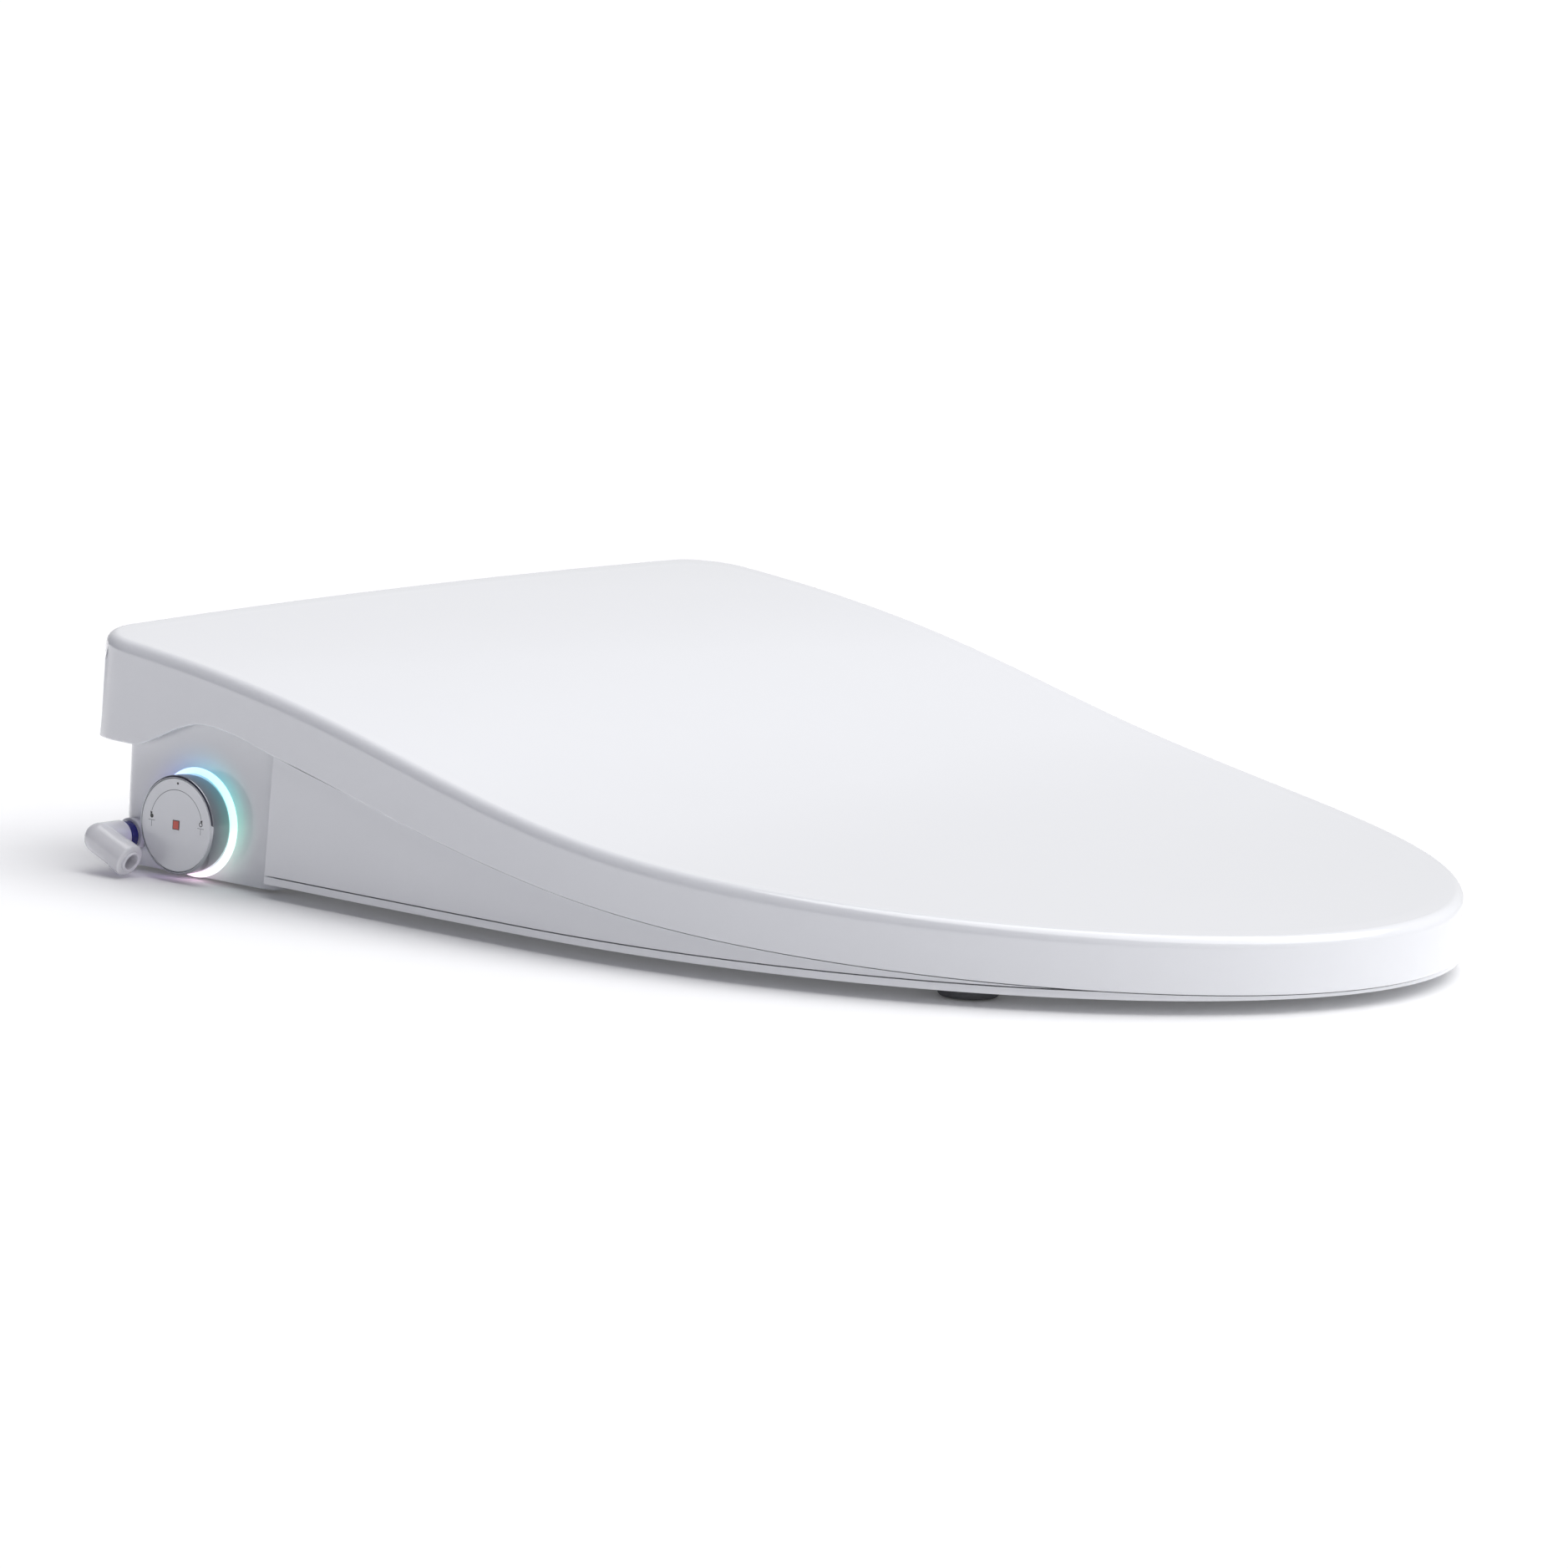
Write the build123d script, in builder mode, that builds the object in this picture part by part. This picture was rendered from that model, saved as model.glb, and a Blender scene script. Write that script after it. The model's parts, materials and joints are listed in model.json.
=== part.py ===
"""Electric bidet seat: side housing, slow-closing seat and lid, wash nozzles, warm-air dryer and deodoriser.

Millimetres. The origin is the midpoint of the two bowl bolts on the bowl's rim. +Z is up and the front tip
points to -Y. The control knob and the water inlet are on the -X cheek, which is the seated user's right.
"""

import os
from math import acos, cos, exp, pi, radians, sin, tan

from build123d import *

os.makedirs("parts", exist_ok=True)

# Plan of the lid, at the crease where its top rolls over into the skirt
HALF_WIDTH = 184.7
WIDEST_Y = -194.0
NOSE_LENGTH = 265.8
REAR_Y = 48.5
REAR_NARROWING = 6.5
CORNER_RADIUS = 23.0
CROWN = 2.5
EDGE_RADIUS = 4.5
LID_WALL = 2.6

# Skirt of the lid: it stands out from the crease and follows it at a constant depth
SKIRT_OUT_LOW = 5.6
SKIRT_OUT_HIGH = 1.0
DRAFT_HEIGHT = 100.0
SKIRT_DEPTH = 22.3
SKIRT_BULGE = 1.6
EAR_BOTTOM = 49.0
NOTCH = [(-33, 60.9), (-24.5, 61.9), (-15.5, 61.5), (-4.5, 58.1), (6.6, 52.9), (12, 50.5), (18.5, EAR_BOTTOM)]
REAR_LIP_BOTTOM = 81.0
EAR_INSIDE_X = 178.6

# Seat ring under the lid
SEAT_BOTTOM = 5.4
PARTING = 8.8
SEAT_DROP = 7.0
SEAT_DISH = -5.0
SEAT_WALL = 3.5
SHOULDER_INSET = 6.2
BAND_INSET = 1.6
BAND_GAP = 0.5
SEAT_REAR_Y = -57.6
GROOVE = 0.5
GROOVE_DEPTH = 1.2
OPENING_Y = -215.0
OPENING_HALF_WIDTH = 106.0
OPENING_FRONT = 168.0
OPENING_REAR = 112.0
TUNNEL_HALF_WIDTH = 82.0
TUNNEL_TOP = 36.0
BUMPER_RADIUS = 12.0
FRONT_BUMPERS = (118.3, -362.8)
REAR_BUMPERS = (128.0, -150.0)

# Hinge shared by the seat and the lid
HINGE_Y = 22.0
HINGE_Z = 68.0
PIN_RADIUS = 4.0
RUNNING = 0.05
BARREL_RADIUS = 9.5
SEAT_ARM_X = (121.0, 147.0)
LID_ARM_X = (150.5, 167.5)
POCKET_X = (118.5, 169.5)
POCKET_FLOOR = 57.0

# Housing
CHEEK_X = 178.0
HOUSING_FRONT = -55.8
HOUSING_REAR = 27.0
HOUSING_BOTTOM = 1.5
HOUSING_EDGE = 7.0
HOOD_RADIUS = 15.0
HOOD_BOTTOM = 50.0
COVER_WALL = 2.5
HOUSING_ROOF = [(-55.8, 73), (-38.8, 76.4), (-20, 79), (0, 81.4), (22, 83)]
TRAY_FLOOR = (1.0, 3.5)
HAT_TOP = 12.0

# Knob and inlet on the cheek
KNOB_Y = -13.3
KNOB_Z = 22.4
KNOB_RADIUS = 19.4
KNOB_BACK = 179.6
KNOB_FRONT = 190.0
SPINDLE_RADIUS = 3.0
INLET_Y = 19.4
INLET_Z = 13.1
ELBOW_X = 197.5
ELBOW_RADIUS = 6.2
ELBOW_ARM = 17.5
ELBOW_DROOP = 22.0
HOSE_BORE = 3.2
HOSE_BORE_LENGTH = 12.0
COLLET_BORE = 4.2
COLLET_DEPTH = 5.0
SPIGOT_RADIUS = 3.5
FILTER_RADIUS = 3.0
FILTER_END = 180.0
INLET_HOLE = 4.6
COLLET_TRAVEL = 1.0
LIGHT_RADII = (17.0, 21.4)
LIGHT_DEPTH = 1.0
FACE_RADIUS = 18.3
FACE_DEPTH = 1.0
STOP_MARK = (3.4, 3.7)

# Mounting bracket
BOLT_SPACING = 140.0
BOLT_HOLE = 4.25
BRACKET = (200.0, 48.0, 6.0)
ADJUSTER = (36.0, 20.0)

# Wash nozzles and their rack drive
NOZZLE_X = 10.0
NOZZLE_SLOPE = radians(14.0)
NOZZLE_TAIL = (22.0, 40.0)
NOZZLE_LENGTH = 108.0
NOZZLE_RADIUS = 5.0
TIP_LENGTH = 16.0
RACK_LINE = 7.0
MODULE = 1.0
PINION_TEETH = 12
PRESSURE_ANGLE = radians(20.0)
BACKLASH = 0.16
GEAR_WIDTH = 4.0
PINION_AT = 64.0

# Fasteners, button and cord gland
SCREW_PLACES = ((170.5, -47.5), (113.0, 19.5))
SCREW_RADIUS = 1.5
SCREW_HEAD = 3.0
BUTTON_Y = (6.0, 18.0)
BUTTON_Z = (5.5, 13.5)
GLAND_X = 150.0
GLAND_Z = 32.0
GLAND_RADIUS = 6.0
GLAND_BORE = 3.6

# Dryer and deodoriser
FAN_CENTRE = (82.0, -5.0)
FAN_RADIUS = 20.0
FAN_BLADES = 24
OUTLET_X = (50.0, 74.0)
OUTLET_Z = (13.5, 31.5)
FLAP_Y = -58.4
FLAP_TOP = 29.8
CARTRIDGE_Y = (-40.0, -8.0)
CARTRIDGE_Z = (9.0, 41.0)


def crease_height(y):
    """Height of the crease: an S curve from the low nose to the high rear, on a gentle slope."""
    return 44.608 + 45.36 / (1 + exp(-(y + 129.61) / 56.532)) + 0.03304 * y


def skirt_edge(y):
    """Height of the skirt's lower edge ahead of the notch over the knob."""
    return crease_height(y) - SKIRT_DEPTH - SKIRT_BULGE * exp(-(((y + 125) / 60) ** 2))


def plan(out, level):
    """Plan outline of the crease moved outwards by out, as a sketch at a level."""
    rear_y = REAR_Y + out
    middle_y = (WIDEST_Y + rear_y) / 2
    rear_x = HALF_WIDTH - REAR_NARROWING + out
    middle_x = HALF_WIDTH - REAR_NARROWING / 4 + out
    with BuildSketch(Plane.XY.offset(level)) as outline:
        with BuildLine():
            nose = EllipticalCenterArc((0, WIDEST_Y), HALF_WIDTH + out, NOSE_LENGTH + out, 180, arc_size=180)
            right = ThreePointArc(nose @ 1, (middle_x, middle_y), (rear_x, rear_y))
            rear = Line(right @ 1, (-rear_x, rear_y))
            ThreePointArc(rear @ 1, (-middle_x, middle_y), nose @ 0)
        make_face()
        fillet(outline.vertices().group_by(Axis.Y)[-1], CORNER_RADIUS + out)
    return outline.sketch


def drafted(inset):
    """Block with the skirt's outline and draft, moved inwards by inset."""
    with BuildPart() as body:
        add(plan(SKIRT_OUT_LOW - inset, 0))
        add(plan(SKIRT_OUT_HIGH - inset, DRAFT_HEIGHT))
        loft(ruled=True)
    return body.part


def under_surface(drop, crown):
    """Solid under the top surface, lowered by drop; the middle stands higher by crown at full width."""
    half = HALF_WIDTH + 30
    with BuildPart() as solid:
        for y in (80, 25, -35, -85, -135, -190, -250, -320, -400, -490):
            ahead = min(y - WIDEST_Y, 0) / NOSE_LENGTH
            middle = crease_height(y) - drop + crown * (1 - ahead**2)
            side = middle - crown * (half / HALF_WIDTH) ** 2
            with BuildSketch(Plane.XZ.offset(-y)):
                with BuildLine():
                    Polyline((-half, side), (-half, -20), (half, -20), (half, side))
                    ThreePointArc((half, side), (0, middle), (-half, side))
                make_face()
        loft()
    return solid.part


def dome(inset, drop, crown, edge):
    """Drafted block cut off by the top surface, with its upper edge rounded."""
    with BuildPart() as body:
        add(drafted(inset))
        add(under_surface(drop, crown), mode=Mode.INTERSECT)
        fillet(body.faces().sort_by(Axis.Z)[-1].edges(), edge)
    return body.part


def under_profile(gap, rear_y):
    """Solid below the skirt's lower edge, lowered by gap, out to both sides."""
    front = [(y, skirt_edge(y) - gap) for y in (-500, -440, -370, -300, -240, -190, -140, -95, -60)]
    with BuildPart() as solid:
        with BuildSketch(Plane.YZ):
            with BuildLine():
                edge = Spline(*front, *[(y, z - gap) for y, z in NOTCH])
                Polyline(edge @ 1, (rear_y, EAR_BOTTOM - gap), (rear_y, -30), (-500, -30), edge @ 0)
            make_face()
        extrude(amount=230, both=True)
    return solid.part


def opening(out, low, high):
    """Egg-shaped prism through the seat ring, grown by out."""
    with BuildPart() as hole:
        with BuildSketch(Plane.XY.offset(low)):
            with BuildLine():
                half = OPENING_HALF_WIDTH + out
                EllipticalCenterArc((0, OPENING_Y), half, OPENING_FRONT + out, 180, arc_size=180)
                EllipticalCenterArc((0, OPENING_Y), half, OPENING_REAR + out, 0, arc_size=180)
            make_face()
        extrude(amount=high - low)
    return hole.part


def block(x, y, z):
    """Box between two values on each axis, for places where a piece is trimmed or filled."""
    with BuildPart() as solid:
        with Locations(((x[0] + x[1]) / 2, (y[0] + y[1]) / 2, (z[0] + z[1]) / 2)):
            Box(x[1] - x[0], y[1] - y[0], z[1] - z[0])
    return solid.part


def along_x(y, z, start):
    """Sketch plane at a place on the -X cheek, facing -X, start millimetres out from the middle."""
    return Plane(origin=(-start, y, z), x_dir=(0, -1, 0), z_dir=(-1, 0, 0))


# ---------------------------------------------------------------- lid
lid_outside = dome(0, 0, CROWN, EDGE_RADIUS)
lid_inside = dome(LID_WALL, LID_WALL, CROWN, EDGE_RADIUS - LID_WALL)
with BuildPart() as lid_shell:
    add(lid_outside)
    add(lid_inside, mode=Mode.SUBTRACT)
    add(under_profile(0, 90), mode=Mode.SUBTRACT)
    add(block((-EAR_INSIDE_X, EAR_INSIDE_X), (15, 90), (-5, REAR_LIP_BOTTOM)), mode=Mode.SUBTRACT)
lid_shell.part.label = "lid_shell"
export_step(lid_shell.part, "parts/lid_shell.step")

under_lid = under_surface(LID_WALL, CROWN)
with BuildPart() as lid_hinge_arms:
    for side in (-1, 1):
        x = sorted((side * LID_ARM_X[0], side * LID_ARM_X[1]))
        add(block(x, (-12, 42), (70, 100)))
    add(under_lid, mode=Mode.INTERSECT)
    add(under_surface(LID_WALL + 4, CROWN), mode=Mode.SUBTRACT)
    for side in (-1, 1):
        x = sorted((side * LID_ARM_X[0], side * LID_ARM_X[1]))
        add(block(x, (HINGE_Y - 8, HINGE_Y + 8), (HINGE_Z, HINGE_Z + 14)))
        with BuildSketch(Plane.YZ.offset(x[0])):
            with Locations((HINGE_Y, HINGE_Z)):
                Circle(BARREL_RADIUS)
        extrude(amount=x[1] - x[0])
    with BuildSketch(Plane.YZ.offset(-200)):
        with Locations((HINGE_Y, HINGE_Z)):
            Circle(PIN_RADIUS + RUNNING)
    extrude(amount=400, mode=Mode.SUBTRACT)
lid_hinge_arms.part.label = "lid_hinge_arms"
export_step(lid_hinge_arms.part, "parts/lid_hinge_arms.step")

with BuildPart() as lid_bumpers:
    with BuildSketch(Plane.XY.offset(10)):
        for x, y in ((145, -150), (85, -385)):
            with Locations((x, y), (-x, y)):
                Circle(6)
    extrude(amount=90)
    add(under_lid, mode=Mode.INTERSECT)
    add(under_surface(LID_WALL + 2.6, CROWN), mode=Mode.SUBTRACT)
lid_bumpers.part.label = "lid_bumpers"
export_step(lid_bumpers.part, "parts/lid_bumpers.step")

# ---------------------------------------------------------------- seat
tunnel = block((-TUNNEL_HALF_WIDTH, TUNNEL_HALF_WIDTH), (-150, -40), (-10, TUNNEL_TOP))
behind_seat = block((-250, 250), (SEAT_REAR_Y, 120), (-30, 130))
seat_skin = dome(SHOULDER_INSET, SEAT_DROP, SEAT_DISH, 4)
seat_core = dome(SHOULDER_INSET + SEAT_WALL, SEAT_DROP + SEAT_WALL, SEAT_DISH, 2)
seat_band = drafted(BAND_INSET) & under_profile(BAND_GAP, 90)
with BuildPart() as seat_cavity:
    add(seat_core)
    add(block((-250, 250), (SEAT_REAR_Y - SEAT_WALL, 120), (-30, 130)), mode=Mode.SUBTRACT)
    add(opening(SEAT_WALL, -10, 120), mode=Mode.SUBTRACT)
    half = TUNNEL_HALF_WIDTH + SEAT_WALL
    add(block((-half, half), (-150, -40), (-10, TUNNEL_TOP + SEAT_WALL)), mode=Mode.SUBTRACT)
with BuildPart() as seat_top:
    add(seat_band)
    add(seat_skin)
    add(behind_seat, mode=Mode.SUBTRACT)
    add(block((-250, 250), (-520, 120), (-30, PARTING)), mode=Mode.SUBTRACT)
    add(seat_cavity.part, mode=Mode.SUBTRACT)
    add(opening(0, -10, 120), mode=Mode.SUBTRACT)
    add(tunnel, mode=Mode.SUBTRACT)
seat_top.part.label = "seat_top"
export_step(seat_top.part, "parts/seat_top.step")

with BuildPart() as seat_bottom:
    add(seat_band)
    add(block((-250, 250), (-520, SEAT_REAR_Y), (SEAT_BOTTOM, PARTING - GROOVE)), mode=Mode.INTERSECT)
    tongue = block((-250, 250), (-520, SEAT_REAR_Y), (SEAT_BOTTOM, PARTING))
    add(drafted(SHOULDER_INSET) & tongue)
    add(opening(0, -10, PARTING - GROOVE), mode=Mode.SUBTRACT)
    add(opening(GROOVE_DEPTH, PARTING - GROOVE, 120), mode=Mode.SUBTRACT)
    add(tunnel, mode=Mode.SUBTRACT)
seat_bottom.part.label = "seat_bottom"
export_step(seat_bottom.part, "parts/seat_bottom.step")

with BuildPart() as seat_heater:
    add(under_surface(SEAT_DROP + SEAT_WALL + 0.6, SEAT_DISH))
    add(under_surface(SEAT_DROP + SEAT_WALL + 1.4, SEAT_DISH), mode=Mode.SUBTRACT)
    add(drafted(SHOULDER_INSET + 14), mode=Mode.INTERSECT)
    add(opening(14, -10, 120), mode=Mode.SUBTRACT)
    add(block((-250, 250), (-150, 120), (-30, 130)), mode=Mode.SUBTRACT)
seat_heater.part.label = "seat_heater"
export_step(seat_heater.part, "parts/seat_heater.step")

with BuildPart() as seat_sensor:
    with Locations((-150, -230, 16)):
        Box(16, 90, 3)
    fillet(seat_sensor.edges().filter_by(Axis.Z), 3)
seat_sensor.part.label = "seat_sensor"
export_step(seat_sensor.part, "parts/seat_sensor.step")

with BuildPart() as seat_bumpers:
    with BuildSketch():
        for x, y in (FRONT_BUMPERS, REAR_BUMPERS):
            with Locations((x, y), (-x, y)):
                Circle(BUMPER_RADIUS)
    extrude(amount=SEAT_BOTTOM)
    fillet(seat_bumpers.edges().group_by(Axis.Z)[0], 2)
seat_bumpers.part.label = "seat_bumpers"
export_step(seat_bumpers.part, "parts/seat_bumpers.step")

with BuildPart() as seat_hinge_arms:
    for side in (-1, 1):
        x = sorted((side * SEAT_ARM_X[0], side * SEAT_ARM_X[1]))
        add(block(x, (SEAT_REAR_Y, HINGE_Y), (60.5, 70)))
        with BuildSketch(Plane.YZ.offset(x[0])):
            with Locations((HINGE_Y, HINGE_Z)):
                Circle(BARREL_RADIUS)
        extrude(amount=x[1] - x[0])
    with BuildSketch(Plane.YZ.offset(-200)):
        with Locations((HINGE_Y, HINGE_Z)):
            Circle(PIN_RADIUS + RUNNING)
    extrude(amount=400, mode=Mode.SUBTRACT)
seat_hinge_arms.part.label = "seat_hinge_arms"
export_step(seat_hinge_arms.part, "parts/seat_hinge_arms.step")

# ---------------------------------------------------------------- housing


def housing_slab(wall, half_width):
    """Side profile of the housing moved inwards by wall, as a slab out to half_width on both sides."""
    front, rear = HOUSING_FRONT + wall, HOUSING_REAR - wall
    roof = [(y, z - wall) for y, z in HOUSING_ROOF]
    with BuildPart() as slab:
        with BuildSketch(Plane.YZ) as profile:
            with BuildLine():
                top = Spline((front, roof[0][1]), *roof[1:], tangents=((1, 0.2), (1, 0)))
                hood = RadiusArc(top @ 1, (HINGE_Y + HOOD_RADIUS - wall, HINGE_Z), HOOD_RADIUS - wall)
                back = Line(hood @ 1, (rear, HOOD_BOTTOM))
                Polyline(back @ 1, (rear, HOUSING_BOTTOM + wall), (front, HOUSING_BOTTOM + wall), top @ 0)
            make_face()
            fillet([v for v in profile.vertices() if v.X > rear - 1 and v.Y > HOOD_BOTTOM - 1], 10)
        extrude(amount=half_width, both=True)
    return slab.part


with BuildPart() as housing_cavity:
    add(housing_slab(COVER_WALL, CHEEK_X - COVER_WALL))
    add(block((-175.5, 175.5), (HOUSING_FRONT + COVER_WALL, HOUSING_REAR - COVER_WALL), (-1, 10)))
    for side in (-1, 1):
        x = sorted((side * (POCKET_X[0] - COVER_WALL), side * (POCKET_X[1] + COVER_WALL)))
        add(block(x, (-70, 60), (POCKET_FLOOR - COVER_WALL, 100)), mode=Mode.SUBTRACT)
with BuildPart() as housing_cover:
    steps = ((HOUSING_REAR, HOUSING_BOTTOM, HOOD_BOTTOM), (HINGE_Y + HOOD_RADIUS, HOOD_BOTTOM, 90))
    for rear_y, low, high in steps:
        with BuildSketch(Plane.XY.offset(low)):
            with Locations((0, (HOUSING_FRONT + rear_y) / 2)):
                RectangleRounded(2 * CHEEK_X, rear_y - HOUSING_FRONT, HOUSING_EDGE)
        extrude(amount=high - low)
    add(housing_slab(0, CHEEK_X), mode=Mode.INTERSECT)
    add(housing_cavity.part, mode=Mode.SUBTRACT)
    for side in (-1, 1):
        x = sorted((side * POCKET_X[0], side * POCKET_X[1]))
        add(block(x, (-70, 60), (POCKET_FLOOR, 100)), mode=Mode.SUBTRACT)
    # screw bosses in the four corners of the floor
    for x, y, wide in ((170.5, -47.5, 10), (113, 19.5, 8)):
        with Locations((x, y, 8.8), (-x, y, 8.8)):
            Box(wide, 10, 10)
    with BuildSketch(Plane.XY):
        for x, y in SCREW_PLACES:
            with Locations((x, y), (-x, y)):
                Circle(SCREW_RADIUS)
    extrude(amount=11, mode=Mode.SUBTRACT)
    # hinge pin holes
    with BuildSketch(Plane.YZ.offset(-174)):
        with Locations((HINGE_Y, HINGE_Z)):
            Circle(PIN_RADIUS)
    extrude(amount=348, mode=Mode.SUBTRACT)
    # knob, light ring and inlet on the -X cheek
    with BuildSketch(along_x(KNOB_Y, KNOB_Z, 170)):
        Circle(SPINDLE_RADIUS + 1)
    extrude(amount=20, mode=Mode.SUBTRACT)
    with BuildSketch(along_x(KNOB_Y, KNOB_Z, CHEEK_X - LIGHT_DEPTH)):
        Circle(LIGHT_RADII[1])
        Circle(LIGHT_RADII[0], mode=Mode.SUBTRACT)
    extrude(amount=20, mode=Mode.SUBTRACT)
    with BuildSketch(along_x(INLET_Y, INLET_Z, 170)):
        Circle(INLET_HOLE)
    extrude(amount=20, mode=Mode.SUBTRACT)
    # cartridge slot and release button on the +X cheek
    slot = [(low - 0.5, high + 0.5) for low, high in (CARTRIDGE_Y, CARTRIDGE_Z)]
    add(block((170, 190), *slot), mode=Mode.SUBTRACT)
    add(block((170, 190), (BUTTON_Y[0] - 0.3, BUTTON_Y[1] + 0.3), (BUTTON_Z[0] - 0.3, BUTTON_Z[1] + 0.3)),
        mode=Mode.SUBTRACT)
    # nozzle window, dryer outlet and night light at the front, cord gland at the rear
    add(block((-34, 34), (-70, -50), (4, 50)), mode=Mode.SUBTRACT)
    add(block(OUTLET_X, (-70, -50), OUTLET_Z), mode=Mode.SUBTRACT)
    with BuildSketch(Plane.XZ.offset(50)):
        with Locations((-62, 24)):
            Circle(4)
    extrude(amount=20, mode=Mode.SUBTRACT)
    with BuildSketch(Plane.XZ.offset(-20)):
        with Locations((GLAND_X, GLAND_Z)):
            Circle(GLAND_RADIUS)
    extrude(amount=-20, mode=Mode.SUBTRACT)
housing_cover.part.label = "housing_cover"
export_step(housing_cover.part, "parts/housing_cover.step")

tray_x = CHEEK_X - COVER_WALL - 0.3
tray_y = (HOUSING_FRONT + COVER_WALL + 0.3, HOUSING_REAR - COVER_WALL - 0.3)
hat_x = BRACKET[0] / 2 + 3.5
with BuildPart() as base_tray:
    add(block((-tray_x, tray_x), tray_y, TRAY_FLOOR))
    add(block((-hat_x, hat_x), (-30, tray_y[1]), (TRAY_FLOOR[0], HAT_TOP)))
    add(block((1.5 - hat_x, hat_x - 1.5), (-27.5, 40), (-1, HAT_TOP - 2.5)), mode=Mode.SUBTRACT)
    with BuildSketch():
        with Locations((BOLT_SPACING / 2, 0), (-BOLT_SPACING / 2, 0)):
            Circle(BOLT_HOLE + 2)
    extrude(amount=HAT_TOP + 1, mode=Mode.SUBTRACT)
    with BuildSketch(Plane.XY):
        for x, y in SCREW_PLACES:
            with Locations((x, y), (-x, y)):
                Circle(SCREW_RADIUS)
    extrude(amount=6, mode=Mode.SUBTRACT)
    with BuildSketch(Plane.XY):
        for x, y in SCREW_PLACES:
            with Locations((x, y), (-x, y)):
                Circle(SCREW_HEAD)
    extrude(amount=2.4, mode=Mode.SUBTRACT)
base_tray.part.label = "base_tray"
export_step(base_tray.part, "parts/base_tray.step")

with BuildPart() as cover_screws:
    with BuildSketch(Plane.XY.offset(TRAY_FLOOR[0])):
        for x, y in SCREW_PLACES:
            with Locations((x, y), (-x, y)):
                Circle(SCREW_HEAD)
    extrude(amount=2.4 - TRAY_FLOOR[0])
    with BuildSketch(Plane.XY.offset(2)):
        for x, y in SCREW_PLACES:
            with Locations((x, y), (-x, y)):
                Circle(SCREW_RADIUS)
    extrude(amount=8)
    with BuildSketch(Plane.XY):
        for x, y in SCREW_PLACES:
            with Locations((x, y), (-x, y)):
                Rectangle(3.4, 0.8)
                Rectangle(0.8, 3.4)
    extrude(amount=1.8, mode=Mode.SUBTRACT)
cover_screws.part.label = "cover_screws"
export_step(cover_screws.part, "parts/cover_screws.step")

with BuildPart() as housing_feet:
    with BuildSketch():
        with Locations((135, -38), (-135, -38), (135, 12), (-135, 12)):
            RectangleRounded(30, 12, 4)
    extrude(amount=TRAY_FLOOR[0])
housing_feet.part.label = "housing_feet"
export_step(housing_feet.part, "parts/housing_feet.step")

with BuildPart() as mount_bracket:
    with BuildSketch():
        RectangleRounded(BRACKET[0], BRACKET[1], 6)
        with Locations((BOLT_SPACING / 2, 0), (-BOLT_SPACING / 2, 0)):
            RectangleRounded(ADJUSTER[0], ADJUSTER[1] + 8, 6, mode=Mode.SUBTRACT)
    extrude(amount=BRACKET[2])
    with BuildSketch(Plane.XY.offset(2)):
        Rectangle(60, 28)
    extrude(amount=10, mode=Mode.SUBTRACT)
mount_bracket.part.label = "mount_bracket"
export_step(mount_bracket.part, "parts/mount_bracket.step")

with BuildPart() as bolt_adjusters:
    with BuildSketch():
        with Locations((BOLT_SPACING / 2, 0), (-BOLT_SPACING / 2, 0)):
            RectangleRounded(ADJUSTER[0], ADJUSTER[1] + 8, 6)
    extrude(amount=BRACKET[2] - 1)
    with BuildSketch(Plane.XY.offset(BRACKET[2] - 1)):
        with Locations((BOLT_SPACING / 2, 0), (-BOLT_SPACING / 2, 0)):
            RectangleRounded(ADJUSTER[0] - 8, ADJUSTER[1], 5)
    extrude(amount=2)
    with BuildSketch():
        with Locations((BOLT_SPACING / 2, 0), (-BOLT_SPACING / 2, 0)):
            Circle(BOLT_HOLE)
    extrude(amount=20, mode=Mode.SUBTRACT)
bolt_adjusters.part.label = "bolt_adjusters"
export_step(bolt_adjusters.part, "parts/bolt_adjusters.step")

with BuildPart() as hinge_pins:
    for side in (-1, 1):
        with BuildSketch(Plane.YZ.offset(side * 172)):
            with Locations((HINGE_Y, HINGE_Z)):
                Circle(PIN_RADIUS)
        extrude(amount=-side * 72)
hinge_pins.part.label = "hinge_pins"
export_step(hinge_pins.part, "parts/hinge_pins.step")

with BuildPart() as lid_damper:
    with BuildSketch(Plane.YZ.offset(-110)):
        with Locations((HINGE_Y, HINGE_Z)):
            Circle(8.5)
            Circle(PIN_RADIUS, mode=Mode.SUBTRACT)
    extrude(amount=10)
    with BuildSketch(Plane.YZ.offset(-100)):
        with Locations((HINGE_Y, HINGE_Z)):
            Circle(8.5)
    extrude(amount=30)
lid_damper.part.label = "lid_damper"
export_step(lid_damper.part, "parts/lid_damper.step")

with BuildPart() as seat_damper:
    add(lid_damper.part.mirror(Plane.YZ))
seat_damper.part.label = "seat_damper"
export_step(seat_damper.part, "parts/seat_damper.step")

# ---------------------------------------------------------------- knob
with BuildPart() as light_ring:
    with BuildSketch(along_x(KNOB_Y, KNOB_Z, CHEEK_X - LIGHT_DEPTH)):
        Circle(LIGHT_RADII[1])
        Circle(LIGHT_RADII[0], mode=Mode.SUBTRACT)
    extrude(amount=LIGHT_DEPTH)
light_ring.part.label = "light_ring"
export_step(light_ring.part, "parts/light_ring.step")

with BuildPart() as led_board:
    with BuildSketch(along_x(KNOB_Y, KNOB_Z, 173.7)):
        Circle(18)
        Circle(SPINDLE_RADIUS + 1, mode=Mode.SUBTRACT)
    extrude(amount=1.6)
    with BuildSketch(along_x(KNOB_Y, KNOB_Z, 172.7)):
        with PolarLocations(15.5, 12):
            Rectangle(3, 2.4)
    extrude(amount=1)
led_board.part.label = "led_board"
export_step(led_board.part, "parts/led_board.step")

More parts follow.
